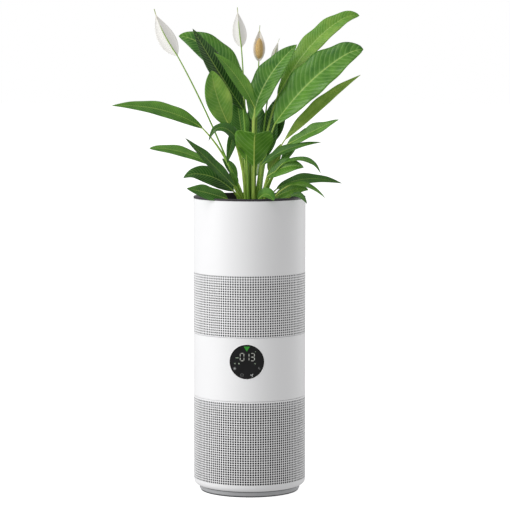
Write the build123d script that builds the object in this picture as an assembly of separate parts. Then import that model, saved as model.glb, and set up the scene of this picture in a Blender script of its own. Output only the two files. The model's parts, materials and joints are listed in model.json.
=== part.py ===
from build123d import *
from math import cos, pi, sin
import os

# A round floor-standing air purifier with a lift-out plant pot in its top.
# Millimetres. The origin is the centre of the underside, +Z is up, and the display faces -Y.

# Driving dimensions
BODY_R = 110.0  # outside of the white shells
WALL = 2.4  # moulded shell wall
SHELL_BOTTOM = 12.0
LOWER_SEAM = 189.0
UPPER_SEAM = 313.0
SHELL_TOP = 577.0
SEAM_GAP = 0.8  # open groove between two shells
EDGE_ROUND = 9.0  # bottom edge of the lower shell
TOTAL_H = 581.0  # top of the pot's lip

FOOT_R = 99.0
FOOT_TOP = 10.0  # the neck above it makes the shadow gap
NECK_R = 95.0
RUBBER_H = 2.6
BAY_R = 83.2  # opening that the filter passes through

FILTER_R = 81.2
FILTER_BOTTOM = 26.0
FILTER_TOP = 178.0
CAP_T = 3.8

DECK_Z = 184.0
DECK_T = 4.0
EYE_R = 44.0  # air inlet of the fan
IMPELLER_R = 65.0
IMPELLER_Z = 199.5
IMPELLER_H = 38.0
BLADES = 11
CASING_R = 90.0
CASING_TOP = 300.0
POD_R = 68.0
POD_Z = 246.0
VANES = 9
SHAFT_R = 4.0
BEARING_R = 11.0
FIT = 0.03  # radial clearance of a fit on the shaft
MOTOR_R = 30.0
MOTOR_Z = 249.2
STATOR_TEETH = 9

DISPLAY_Z = 267.0
DISPLAY_R = 33.6
BOARD_Y = 95.0
BOARD_Z = 260.0
JACK_Z = 210.0
SENSOR_ANGLE = 45.0

BASIN_R = 107.2
BASIN_Z = 441.2
POT_R = 102.4  # under the lip
POT_BOTTOM_R = 94.0
POT_Z = 452.0
POT_WALL = 2.4
LIP_Z = 577.3
SOIL_Z = 558.0

STALK_W = 4.0
LEAF_T = 1.2

os.makedirs("parts", exist_ok=True)


# Helpers
def turned(points, rounds=()):
    """A solid of revolution about Z. points are (radius, height), rounds are (corner, radius)."""
    outline = make_face(Polyline(*points, close=True))
    for corner, radius in rounds:
        spot = Vector(*corner)
        vertex = min(outline.vertices(), key=lambda v: (Vector(v.X, v.Y) - spot).length)
        outline = fillet([vertex], radius)
    return revolve(Plane.XZ * outline, Axis.Z)


def tube(r_in, r_out, low, high):
    return turned([(r_in, low), (r_out, low), (r_out, high), (r_in, high)])


def rod(radius, low, high, x=0.0, y=0.0):
    return Pos(x, y, (low + high) / 2) * Cylinder(radius, high - low)


def rod_y(radius, near, far, x=0.0, z=0.0):
    """A cylinder along Y from near to far."""
    return Pos(x, (near + far) / 2, z) * Rot(90, 0, 0) * Cylinder(radius, far - near)


def block(x, y, z):
    """A box from three (low, high) pairs."""
    sizes = [high - low for low, high in (x, y, z)]
    return Pos(*[(low + high) / 2 for low, high in (x, y, z)]) * Box(*sizes)


def around(shape, count, start=0.0):
    """Copies of a shape turned evenly about Z."""
    return [Rot(0, 0, start + 360 * i / count) * shape for i in range(count)]


def joined(shapes):
    """One solid of touching or overlapping shapes."""
    first, *others = shapes
    return first + others


def group(shapes):
    """Separate solids in one node."""
    return Compound(children=[Solid(s.wrapped) for shape in shapes for s in shape.solids()])


def save(name, shape):
    export_step(shape, f"parts/{name}.step")


# Shells
def upper_shell():
    low = UPPER_SEAM + SEAM_GAP / 2
    inner = BODY_R - WALL
    corners = [(inner, low), (BODY_R, low), (BODY_R, SHELL_TOP), (inner, SHELL_TOP)]
    return turned(corners, [((BODY_R, SHELL_TOP), 1.2), ((BODY_R, low), 0.5)])


def control_band():
    low, high = LOWER_SEAM + SEAM_GAP / 2, UPPER_SEAM - SEAM_GAP / 2
    inner, lap, lap_in = BODY_R - WALL, BODY_R - WALL - 0.2, BODY_R - 2 * WALL
    reach = 6.0
    band = turned(
        [
            (lap_in, low - reach), (lap, low - reach), (lap, low), (BODY_R, low),
            (BODY_R, high), (lap, high), (lap, high + reach), (lap_in, high + reach),
            (lap_in, high - reach), (inner, high - 2 * reach),
            (inner, low + 2 * reach), (lap_in, low + reach),
        ],
        [((BODY_R, low), 0.5), ((BODY_R, high), 0.5)],
    )
    band -= rod_y(DISPLAY_R, -BODY_R - 5, -BODY_R + 20, z=DISPLAY_Z)
    band -= rod_y(5.3, BODY_R - 10, BODY_R + 5, z=JACK_Z)
    for row in (-8, 0, 8):
        slot = block((BODY_R - 10, BODY_R + 5), (-10, 10), (BOARD_Z + row - 1.2, BOARD_Z + row + 1.2))
        band -= Rot(0, 0, SENSOR_ANGLE) * slot
    return band


def lower_shell():
    top = LOWER_SEAM - SEAM_GAP / 2
    inner, flange_top = BODY_R - WALL, SHELL_BOTTOM + WALL
    lip = NECK_R + 0.6
    corners = [
        (lip, SHELL_BOTTOM), (BODY_R, SHELL_BOTTOM), (BODY_R, top),
        (inner, top), (inner, flange_top), (lip, flange_top),
    ]
    rounds = [((BODY_R, SHELL_BOTTOM), EDGE_ROUND), ((inner, flange_top), EDGE_ROUND - WALL)]
    return turned(corners, rounds + [((BODY_R, top), 0.5)])


# Foot, filter bay and its cover
def foot_ring():
    ledge = SHELL_BOTTOM + WALL + 0.2
    ring = turned(
        [
            (BAY_R, RUBBER_H), (FOOT_R - 1.6, RUBBER_H), (FOOT_R, RUBBER_H + 2), (FOOT_R, FOOT_TOP),
            (NECK_R, FOOT_TOP), (NECK_R, ledge), (NECK_R + 6, ledge),
            (NECK_R + 6, ledge + 2.8), (BAY_R, ledge + 2.8),
        ],
        [((FOOT_R, FOOT_TOP), 0.8)],
    )
    for hole in around(rod(1.7, 8, 20, x=89), 6, 22.5):
        ring -= hole
    for pocket in around(block((BAY_R - 1, 85.4), (-7.2, 7.2), (8, 16)), 4):
        ring -= pocket
    return ring


def rubber_foot():
    return turned(
        [(BAY_R + 0.8, 0), (FOOT_R - 3, 0), (FOOT_R - 2.2, 0.8), (FOOT_R - 2.2, 2.5), (BAY_R + 0.8, 2.5)]
    )


def strike_plates():
    return group(around(block((84.0, 85.2), (-7, 7), (8.2, 15.8)), 4))


def filter_cage():
    low, high = SHELL_BOTTOM + WALL + 3.2, DECK_Z - 0.2
    ring_r = 100.0
    shapes = [tube(83.4, ring_r, low, low + 3), tube(83.4, ring_r, high - 3, high)]
    shapes += around(block((83.8, 92), (-1.5, 1.5), (low + 1, high - 1)), 8)
    cage = joined(shapes)
    for hole in around(rod(1.7, 8, 30, x=89), 6, 22.5):
        cage -= hole
    return cage


def foot_screws():
    low = SHELL_BOTTOM + WALL + 6.3
    screw = rod(1.55, 8.5, low + 1, x=89) + rod(3.2, low, low + 2.2, x=89)
    return group(around(screw, 6, 22.5))


def filter_cover():
    plate = rod(BAY_R - 0.6, 2.2, 5.2)
    rim = tube(BAY_R - 3.2, BAY_R - 0.6, 5, 19)
    seat = tube(62, 65, 5, FILTER_BOTTOM - 0.3)
    well = block((-36, 36), (-18, 18), (5, 17))
    cover = joined([plate, rim, seat, well])
    cover -= block((-34, 34), (-16, 16), (0, 15))
    return cover + block((-34.5, 34.5), (-4, 4), (2.2, 7.2))


def cover_magnets():
    disc = Pos(78, 0, 12) * Rot(0, 90, 0) * Cylinder(4.5, 3.6)
    return group(around(disc, 4))


def zigzag(folds, inside, outside):
    """A star-shaped face whose edge folds in and out."""
    spots = []
    for i in range(2 * folds):
        radius = outside if i % 2 else inside
        angle = pi * i / folds
        spots.append((radius * cos(angle), radius * sin(angle)))
    return make_face(Polyline(*spots, close=True))


def pleats():
    """The folded paper of the filter, as one thin zigzag wall."""
    folds, fold_in, fold_out, paper = 56, 62.5, 79.0, 1.4
    low, high = FILTER_BOTTOM + CAP_T + 0.2, FILTER_TOP - CAP_T - 0.2
    wall = zigzag(folds, fold_in, fold_out) - zigzag(folds, fold_in - paper, fold_out - paper)
    return Pos(0, 0, low) * extrude(wall, high - low)


def filter_parts():
    low, high = FILTER_BOTTOM + CAP_T + 0.2, FILTER_TOP - CAP_T - 0.2
    return {
        "filter_media": pleats(),
        "carbon_core": tube(54, 60, low, high),
        "prefilter_sleeve": tube(79.4, 80.9, low, high),
        "filter_bottom_cap": turned(
            [(0, FILTER_BOTTOM), (FILTER_R, FILTER_BOTTOM), (FILTER_R, low - 0.2), (0, low - 0.2)],
            [((FILTER_R, FILTER_BOTTOM), 1.5)],
        ),
        "filter_top_cap": tube(50, FILTER_R, high + 0.2, FILTER_TOP),
        "filter_seal": turned(
            [(54, FILTER_TOP + 0.2), (78, FILTER_TOP + 0.2), (76, DECK_Z - 0.3), (56, DECK_Z - 0.3)]
        ),
    }


# Fan
def fan_deck():
    deck = tube(EYE_R + 2.2, BODY_R - 2 * WALL - 0.2, DECK_Z, DECK_Z + DECK_T)
    low = DECK_Z + DECK_T
    ribs = around(block((92, 104), (-1, 1), (low - 1, low + 8)), 12, 8)
    return joined([deck] + ribs)


def inlet_bellmouth():
    low = DECK_Z + DECK_T + 0.2
    top = IMPELLER_Z + 1
    return turned(
        [(EYE_R + 0.2, DECK_Z), (EYE_R + 2, DECK_Z), (EYE_R + 2, low), (62, low), (62, low + 2),
         (EYE_R + 2, low + 2), (EYE_R + 2, top), (EYE_R, top), (EYE_R, low)],
        [((EYE_R + 2, low + 2), 3)],
    )


def impeller():
    eye = EYE_R + 2.6
    shroud = tube(eye, IMPELLER_R, IMPELLER_Z, IMPELLER_Z + 2)
    top = IMPELLER_Z + IMPELLER_H
    hub = tube(SHAFT_R + FIT, IMPELLER_R, top - 2.5, top)
    boss = tube(SHAFT_R + FIT, 13, top - 12, POD_Z - 1)
    swept = 40.0  # radius of a blade's curve
    curve = Pos(swept - 2, 0) * (Circle(swept + 1) - Circle(swept - 1))
    span = curve & (Circle(IMPELLER_R - 0.4) - Circle(eye + 0.2))
    plan = max(span.faces(), key=lambda f: f.center().Y)
    blade = Pos(0, 0, IMPELLER_Z + 1) * extrude(plan, IMPELLER_H - 2.5)
    return joined([hub, boss, shroud] + around(blade, BLADES))


def fan_casing():
    low = DECK_Z + DECK_T + 0.2
    inner = CASING_R - 2
    casing = turned(
        [(inner, low), (CASING_R + 1.5, low), (CASING_R + 1.5, low + 2), (CASING_R, low + 2),
         (CASING_R, CASING_TOP - 2.2), (BODY_R - 5, CASING_TOP - 2.2), (BODY_R - 5, CASING_TOP),
         (inner, CASING_TOP), (inner, 262), (inner - 1.8, 262), (inner - 1.8, 260), (inner, 258)]
    )
    posts = [rod_y(3.6, 82, BOARD_Y - 0.1, x, BOARD_Z + z) for x in (-27, 27) for z in (-30, 30)]
    casing = joined([casing] + posts) - rod(inner, low - 1, 257)
    casing -= rod(inner - 1.8, 250, CASING_TOP + 1) + rod(inner, 262, CASING_TOP + 1)
    for x in (-27, 27):
        for z in (-30, 30):
            casing -= rod_y(1.5, BOARD_Y - 6, BOARD_Y + 1, x, BOARD_Z + z)
    return casing - block((-37, 37), (-BODY_R, -96), (CASING_TOP - 4, CASING_TOP + 1))


def diffuser():
    ring_r = CASING_R - 2.3
    pod = tube(POD_R - 2, POD_R, POD_Z, CASING_TOP) + tube(6.5, POD_R - 1, POD_Z, POD_Z + 3)
    ring = tube(ring_r - 1.5, ring_r, 262.4, 296)
    vane = block((POD_R - 1, ring_r - 1), (-0.9, 0.9), (264, 294))
    body = joined([pod, ring] + around(vane, VANES))
    for hole in around(rod(1.6, POD_Z - 1, POD_Z + 4, x=33), 3, 30):
        body -= hole
    return body


def motor_housing():
    low, high = MOTOR_Z, MOTOR_Z + 34
    cup = tube(MOTOR_R - 2, MOTOR_R, low, high) + tube(6.5, 37, low, low + 2)
    cup += tube(BEARING_R + FIT, 14, low + 1, low + 9)
    cup -= rod(BEARING_R - 1.5, low - 1, low + 3)
    for hole in around(rod(1.7, low - 1, low + 3, x=33), 3, 30):
        cup -= hole
    return cup


def motor_end_cap():
    low = MOTOR_Z + 34.1
    return rod(MOTOR_R, low, low + 2) + tube(BEARING_R + FIT, 14, low - 8, low + 0.5)


def motor_bearings():
    def bearing(low):
        inner = tube(SHAFT_R + FIT, 6, low, low + 6.5)
        outer = tube(9, BEARING_R, low, low + 6.5)
        balls = [Pos(7.5 * cos(a), 7.5 * sin(a), low + 3.25) * Sphere(1.45)
                 for a in [2 * pi * i / 8 for i in range(8)]]
        return [inner, outer] + balls
    return group(bearing(MOTOR_Z + 2.2) + bearing(MOTOR_Z + 27))


def motor_stator():
    low, high = MOTOR_Z + 11, MOTOR_Z + 25
    rim = tube(24.5, MOTOR_R - 2.2, low, high)
    tooth = block((17, 25), (-1.8, 1.8), (low, high))
    shoe = block((16.2, 17.6), (-4.4, 4.4), (low, high)) & tube(15.8, 17.9, low, high)
    return joined([rim] + around(tooth, STATOR_TEETH) + around(shoe, STATOR_TEETH))


def stator_windings():
    low, high = MOTOR_Z + 10.2, MOTOR_Z + 25.8
    coil = block((18.2, 24), (-4.2, 4.2), (low - 0.8, high + 0.8))
    coil -= block((17, 25), (-2, 2), (low + 0.6, high - 0.6))
    return group(around(coil, STATOR_TEETH))


def motor_screws():
    low = MOTOR_Z + 2.1
    screw = rod(1.5, POD_Z - 0.5, low + 1, x=33) + rod(2.9, low, low + 2, x=33)
    return group(around(screw, 3, 30))


def rotor_parts():
    boss_low = IMPELLER_Z + IMPELLER_H - 12
    shaft_low = boss_low - 8
    nut = extrude(RegularPolygon(7.2, 6), 5.6) - Cylinder(SHAFT_R + FIT, 20)
    magnet = tube(SHAFT_R + FIT, 15, MOTOR_Z + 11.5, MOTOR_Z + 24.5)
    return {
        "motor_shaft": rod(SHAFT_R, shaft_low, MOTOR_Z + 33.6),
        "rotor_magnet": magnet,
        "impeller": impeller(),
        "impeller_nut": Pos(0, 0, boss_low - 5.8) * nut,
    }


def outlet_guard():
    low = CASING_TOP + 0.2
    rings = [tube(r, r + 1.6, low, low + 2) for r in (65.5, 72, 79, 86, 91)]
    return joined(rings + around(block((66, 92), (-0.8, 0.8), (low, low + 2)), 24))


def motor_cover():
    low = CASING_TOP + 0.2
    return turned([(0, low), (65, low), (65, low + 2), (45, low + 7), (0, low + 12)], [((45, low + 7), 30)])


def air_deflector():
    """A flared bowl that turns the rising air outwards through the outlet holes."""
    rim, top, thick = BASIN_R - 0.4, BASIN_Z - 0.6, 2.0
    foot_r, foot_z, floor = 22, 330, 3
    outer = ThreePointArc((foot_r, foot_z), (82, 366), (rim, top))
    inner = ThreePointArc((rim - thick, top), (80, 368.5), (foot_r, foot_z + floor))
    section = make_face([
        outer, Line((rim, top), (rim - thick, top)), inner,
        Line((foot_r, foot_z + floor), (0, foot_z + floor)),
        Line((0, foot_z + floor), (0, foot_z)), Line((0, foot_z), (foot_r, foot_z)),
    ])
    return revolve(Plane.XZ * section, Axis.Z)


# Planter
def planter_basin():
    wall, top = 2.2, SHELL_TOP - 2
    basin = turned(
        [(0, BASIN_Z), (BASIN_R, BASIN_Z), (BASIN_R, top), (BASIN_R - wall, top),
         (BASIN_R - wall, BASIN_Z + wall), (0, BASIN_Z + wall)],
        [((BASIN_R - wall, BASIN_Z + wall), 5)],
    )
    seat = tube(60, 63, BASIN_Z + 1, POT_Z - 0.3)
    for notch in around(block((55, 68), (-6, 6), (BASIN_Z + wall, POT_Z)), 4, 45):
        seat -= notch
    return basin + seat


def lip_gasket():
    return tube(BASIN_R - 3.4, BASIN_R, SHELL_TOP - 1.8, SHELL_TOP)


def pot_inner_r(z):
    """Inside radius of the tapered pot at a height."""
    share = (z - POT_Z) / (LIP_Z - POT_Z)
    return POT_BOTTOM_R + share * (POT_R - POT_BOTTOM_R) - POT_WALL


def grow_pot():
    floor = POT_Z + 3
    edge = BODY_R - 0.2
    pot = turned(
        [(0, POT_Z), (POT_BOTTOM_R, POT_Z), (POT_R, LIP_Z), (edge, LIP_Z), (edge, TOTAL_H),
         (pot_inner_r(LIP_Z), TOTAL_H), (pot_inner_r(floor), floor), (0, floor)],
        [((edge, TOTAL_H), 1.4), ((pot_inner_r(LIP_Z), TOTAL_H), 1.2), ((POT_BOTTOM_R, POT_Z), 3)],
    )
    for radius, count in ((30, 6), (78, 12)):
        for hole in around(rod(3, POT_Z - 1, floor + 1, x=radius), count):
            pot -= hole
    return pot


def soil():
    low = POT_Z + 3.2
    gap = 0.3
    return turned(
        [(0, low), (pot_inner_r(low) - gap, low), (pot_inner_r(SOIL_Z) - gap, SOIL_Z), (0, SOIL_Z)]
    )


# Display and electronics
def display_lens():
    face = tube(BODY_R - 2.8, BODY_R - 0.3, DISPLAY_Z - 40, DISPLAY_Z + 40)
    return face & rod_y(DISPLAY_R - 0.3, -BODY_R - 1, -BODY_R + 30, z=DISPLAY_Z)


def display_frame():
    ring = rod_y(34.9, -BODY_R, -97, z=DISPLAY_Z) - rod_y(31, -BODY_R - 1, -96, z=DISPLAY_Z)
    return ring & rod(BODY_R - 3.1, DISPLAY_Z - 50, DISPLAY_Z + 50)


def display_parts():
    springs = [rod_y(2.6, -103.6, -99.7, x, DISPLAY_Z + z)
               for x, z in ((-24, -12), (24, -12), (-10, -24), (10, -24))]
    return {
        "display_lens": display_lens(),
        "display_frame": display_frame(),
        "display_board": rod_y(30.6, -99.5, -97.9, z=DISPLAY_Z),
        "light_guide": block((-20, 20), (-104.4, -99.7), (DISPLAY_Z - 8, DISPLAY_Z + 10)),
        "touch_springs": group(springs),
    }


def main_board():
    board = block((-31, 31), (BOARD_Y, BOARD_Y + 1.6), (BOARD_Z - 34, BOARD_Z + 34))
    for x in (-27, 27):
        for z in (-30, 30):
            board -= rod_y(1.7, BOARD_Y - 1, BOARD_Y + 3, x, BOARD_Z + z)
    return board


def board_parts():
    low = BOARD_Y + 1.8
    capacitors = [rod_y(5, low, low + 6, x, BOARD_Z + 16) for x in (-16, -4)]
    coil = block((8, 22), (low, low + 6), (BOARD_Z + 8, BOARD_Z + 24))
    chip = block((-9, 5), (low, low + 1.6), (BOARD_Z - 12, BOARD_Z + 2))
    plugs = [block((x, x + 9), (low, low + 5), (BOARD_Z - 31, BOARD_Z - 24)) for x in (-20, -6, 8)]
    return group(capacitors + [coil, chip] + plugs)


def board_screws():
    low = BOARD_Y + 1.7
    return group([
        rod_y(1.4, BOARD_Y - 5, low + 1, x, BOARD_Z + z) + rod_y(2.8, low, low + 1.8, x, BOARD_Z + z)
        for x in (-27, 27) for z in (-30, 30)
    ])


def particle_sensor():
    body = block((92, 103.6), (-18, 18), (BOARD_Z - 20, BOARD_Z + 20))
    body -= rod(6, BOARD_Z + 12, BOARD_Z + 25, x=98)
    return Rot(0, 0, SENSOR_ANGLE) * body


def dc_inlet():
    body = block((-7, 7), (94, 106), (JACK_Z - 6.5, JACK_Z + 6.5))
    body += rod_y(5, 105, 109.4, z=JACK_Z)
    return body - rod_y(3.2, 98, 112, z=JACK_Z) + rod_y(1, 97, 108, z=JACK_Z)


# Plant. Each leaf: where its stalk leaves the soil (x, y), blade base, middle and tip,
# blade width, and the way its upper side faces.
LEAVES = {
    "leaves_right": [
        ((13, 4), (70, 40, 818), (138, 55, 892), (212, 70, 941), 33, (-0.4, -0.8, 0.5)),
        ((16, 0), (73, -2, 749), (134, -6, 818), (222, -12, 873), 70, (-0.4, -0.9, 0.4)),
        ((22, 4), (93, 22, 739), (148, 28, 783), (218, 34, 816), 16, (-0.3, -0.4, 0.9)),
        ((22, -6), (79, -26, 684), (122, -36, 718), (175, -48, 732), 16, (0, -0.5, 0.9)),
        ((24, 12), (52, 30, 668), (98, 48, 687), (144, 60, 684), 14, (0, -0.4, 0.9)),
        ((20, -12), (66, -50, 650), (103, -70, 660), (141, -88, 634), 16, (0, -0.4, 0.9)),
        ((27, -14), (56, -36, 626), (82, -52, 650), (111, -66, 640), 20, (-0.2, -0.7, 0.7)),
        ((30, 5), (68, 12, 604), (124, 20, 625), (181, 30, 603), 22, (0, -0.5, 0.9)),
        ((36, -16), (82, -42, 596), (120, -58, 609), (150, -72, 580), 18, (0, -0.5, 0.9)),
        ((32, -8), (54, -13, 580), (88, -20, 597), (120, -28, 592), 16, (0, -0.4, 0.9)),
        ((25, -19), (62, -56, 584), (94, -82, 596), (112, -100, 570), 15, (0, -0.4, 0.9)),
    ],
    "leaves_left": [
        ((3, 12), (-13, 34, 779), (-66, 48, 862), (-144, 62, 898), 50, (0.5, -0.8, 0.3)),
        ((-2, 2), (-22, 6, 765), (-58, 4, 834), (-110, 0, 907), 28, (0.6, -0.8, 0.2)),
        ((-12, -2), (-90, -8, 712), (-172, -22, 752), (-267, -38, 759), 28, (0, -0.6, 0.8)),
        ((-10, 5), (-88, 14, 655), (-140, 22, 668), (-200, 30, 673), 14, (0, -0.4, 0.9)),
        ((-8, -15), (-42, -50, 622), (-78, -72, 668), (-118, -90, 698), 16, (0.5, -0.6, 0.6)),
        ((-15, -8), (-50, -22, 608), (-88, -34, 639), (-127, -48, 623), 24, (0, -0.5, 0.9)),
        ((-16, -22), (-52, -62, 588), (-86, -84, 604), (-116, -100, 601), 16, (0, -0.4, 0.9)),
    ],
    "leaves_centre": [
        ((7, 4), (16, 8, 752), (48, 12, 818), (91, 16, 876), 40, (-0.6, -0.8, 0.2)),
        ((6, -5), (6, -12, 745), (-26, -16, 808), (-69, -20, 861), 24, (0.6, -0.8, 0.2)),
        ((-2, -6), (-34, -42, 698), (-58, -56, 775), (-67, -62, 827), 44, (0.3, -0.9, 0.1)),
        ((9, -15), (11, -36, 641), (13, -72, 690), (17, -106, 704), 62, (0, -0.2, 1)),
        ((-1, -14), (-18, -44, 690), (-46, -66, 731), (-76, -78, 702), 14, (0, -0.5, 0.9)),
        ((15, -20), (24, -40, 584), (32, -84, 602), (38, -124, 588), 28, (0, -0.2, 1)),
    ],
}
# Each flower: where its stalk leaves the soil, spathe base, middle and tip, and spathe width.
FLOWERS = [
    ((-6, -4), (-140, -14, 855), (-168, -18, 902), (-184, -22, 945), 35),
    ((-4, 15), (-17, 26, 871), (-22, 28, 912), (-25, 30, 949), 28),
    ((10, 13), (17, 34, 843), (17, 34, 880), (19, 34, 914), 24),
    ((17, 11), (49, 46, 845), (52, 48, 868), (57, 50, 892), 14),
]


def bezier(a, b, c, t):
    """A point at t on the curve from a to c that passes through b at its middle."""
    a, b, c = Vector(*a), Vector(*b), Vector(*c)
    pull = b * 2 - (a + c) * 0.5
    return a * (1 - t) ** 2 + pull * (2 * t * (1 - t)) + c * t ** 2


def stalk_spots(start, base, shares):
    """Points along a stalk, which rises before it leans out, from the soil to its blade."""
    root = (*start, SOIL_Z + 0.2)
    lean, rise = 0.36, 0.55
    knee = [r + (b - r) * k for r, b, k in zip(root, base, (lean, lean, rise))]
    return [bezier(root, knee, base, t) for t in shares]


def loft_along(spots, face):
    """One solid through diamonds at (point, width, thickness). The lowest one lies level."""
    sections = []
    for i, (at, width, deep) in enumerate(spots):
        along = spots[min(i + 1, len(spots) - 1)][0] - spots[max(i - 1, 0)][0]
        level = i == 0 and at.Z < SOIL_Z + 1
        sections.append(section(at, Vector(0, 0, 1) if level else along, Vector(*face), width, deep))
    return loft(sections, ruled=True)


def section(at, along, face, width, thick):
    """A diamond across the stalk or blade."""
    along = along.normalized()
    up = (face - along * face.dot(along)).normalized()
    side = along.cross(up)
    corners = [at + side * width / 2, at + up * thick / 2, at - side * width / 2, at - up * thick / 2]
    return Face(Wire.make_polygon(corners, close=True))


def leaf(start, base, middle, tip, width, face):
    """A stalk and the blade at its end, as one solid."""
    spots = [(at, STALK_W, STALK_W) for at in stalk_spots(start, base, (0, 0.25, 0.5, 0.75))]
    shares = ((0, STALK_W / width), (0.15, 0.62), (0.4, 1), (0.7, 0.74), (1, 0.1))
    spots += [(bezier(base, middle, tip, t), share * width, LEAF_T) for t, share in shares]
    return loft_along(spots, face)


def flower_stalks():
    stalks = []
    for start, base, *_ in FLOWERS:
        spots = stalk_spots(start, base, (0, 0.25, 0.5, 0.75, 0.99))
        stalks.append(loft_along([(at, STALK_W, STALK_W) for at in spots], (0, -1, 0)))
    return group(stalks)


def flower_spathes():
    """Each white hood as a shallow blade behind its spike."""
    hoods = []
    for _, base, middle, tip, width in FLOWERS:
        behind = Vector(0, 4, 0)
        shares = ((0, 0.2), (0.35, 1), (0.65, 0.85), (1, 0.08))
        spots = [(bezier(base, middle, tip, t) + behind, width * share, 3) for t, share in shares]
        hoods.append(loft_along(spots, (0, -1, 0)))
    return group(hoods)


def flower_spadices():
    """The spike in front of each hood."""
    spikes = []
    for _, base, middle, tip, _ in FLOWERS:
        before = Vector(0, -4.5, 0)
        shares = ((0.12, 4), (0.3, 7), (0.5, 6), (0.6, 3))
        spots = [(bezier(base, middle, tip, t) + before, deep, deep) for t, deep in shares]
        spikes.append(loft_along(spots, (0, -1, 0)))
    return group(spikes)


def main():
    nodes = {
        "upper_shell": upper_shell(),
        "control_band": control_band(),
        "lower_shell": lower_shell(),
        "foot_ring": foot_ring(),
        "rubber_foot": rubber_foot(),
        "strike_plates": strike_plates(),
        "filter_cage": filter_cage(),
        "foot_screws": foot_screws(),
        "filter_cover": filter_cover(),
        "cover_magnets": cover_magnets(),
        **filter_parts(),
        "fan_deck": fan_deck(),
        "inlet_bellmouth": inlet_bellmouth(),
        "fan_casing": fan_casing(),
        "diffuser": diffuser(),
        "motor_housing": motor_housing(),
        "motor_end_cap": motor_end_cap(),
        "motor_bearings": motor_bearings(),
        "motor_stator": motor_stator(),
        "stator_windings": stator_windings(),
        "motor_screws": motor_screws(),
        **rotor_parts(),
        "outlet_guard": outlet_guard(),
        "motor_cover": motor_cover(),
        "air_deflector": air_deflector(),
        "planter_basin": planter_basin(),
        "lip_gasket": lip_gasket(),
        "grow_pot": grow_pot(),
        "soil": soil(),
        **display_parts(),
        "main_board": main_board(),
        "board_parts": board_parts(),
        "board_screws": board_screws(),
        "particle_sensor": particle_sensor(),
        "dc_inlet": dc_inlet(),
        "flower_stalks": flower_stalks(),
        "flower_spathes": flower_spathes(),
        "flower_spadices": flower_spadices(),
    }
    for name, leaves in LEAVES.items():
        nodes[name] = group([leaf(*each) for each in leaves])
    for name, shape in nodes.items():
        save(name, shape)
        print(name, len(shape.solids()))


main()
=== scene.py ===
import json
import math
import random
from math import cos, pi, radians, sin

import bmesh
import bpy
from bpy.props import FloatProperty, IntProperty, PointerProperty
from mathutils import Matrix, Vector


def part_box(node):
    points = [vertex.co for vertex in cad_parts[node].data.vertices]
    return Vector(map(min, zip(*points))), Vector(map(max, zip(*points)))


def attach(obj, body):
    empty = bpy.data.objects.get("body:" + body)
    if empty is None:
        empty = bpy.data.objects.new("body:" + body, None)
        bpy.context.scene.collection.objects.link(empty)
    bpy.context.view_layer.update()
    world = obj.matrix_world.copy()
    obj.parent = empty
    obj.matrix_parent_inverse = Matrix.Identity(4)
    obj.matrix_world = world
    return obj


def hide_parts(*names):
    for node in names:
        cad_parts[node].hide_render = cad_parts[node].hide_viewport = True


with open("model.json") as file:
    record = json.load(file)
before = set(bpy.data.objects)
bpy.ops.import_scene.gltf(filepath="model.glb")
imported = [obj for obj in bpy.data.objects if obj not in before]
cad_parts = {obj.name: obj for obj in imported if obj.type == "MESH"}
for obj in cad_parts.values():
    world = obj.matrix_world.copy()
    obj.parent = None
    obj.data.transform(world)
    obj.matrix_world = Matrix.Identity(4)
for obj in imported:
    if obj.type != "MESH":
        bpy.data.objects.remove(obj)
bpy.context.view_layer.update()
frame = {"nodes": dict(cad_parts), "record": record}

bl_info = {
    "name": "Planter-top air purifier",
    "version": (1, 0, 0),
    "blender": (4, 5, 0),
    "location": "View3D > Sidebar > Purifier",
    "description": "Models the shells, display, pot and plant of a round air purifier",
    "category": "Add Mesh",
}

MM = 0.001
FRONT = (pi / 2, 0, 0)  # turn of a flat shape that faces the front
MARK_T = 0.16 * MM  # thickness of a lit mark
STALK_STEPS = 12

# Kinds of shader node
NOISE, CELLS, PLACE = "ShaderNodeTexNoise", "ShaderNodeTexVoronoi", "ShaderNodeTexCoord"
MAPPING, VALUE, RAMP = "ShaderNodeMapping", "ShaderNodeAttribute", "ShaderNodeValToRGB"
MATH, MIX, BUMP = "ShaderNodeMath", "ShaderNodeMix", "ShaderNodeBump"

# Places that the fixed frame gives
UPPER_LOW, UPPER_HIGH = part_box("upper_shell")
LOWER_LOW, LOWER_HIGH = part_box("lower_shell")
LENS_LOW, LENS_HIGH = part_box("display_lens")
SOIL_LOW, SOIL_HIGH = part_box("soil")
SHELL_R = UPPER_HIGH.x
DISPLAY_Z = (LENS_LOW.z + LENS_HIGH.z) / 2
LENS_R = (LENS_HIGH.z - LENS_LOW.z) / 2


# ---------------------------------------------------------------- settings
def length_setting(name, description, default):
    return FloatProperty(name=name, description=description, default=default, unit="LENGTH")


def angle_setting(name, description, degrees):
    return FloatProperty(name=name, description=description, default=radians(degrees), subtype="ANGLE")


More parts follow.
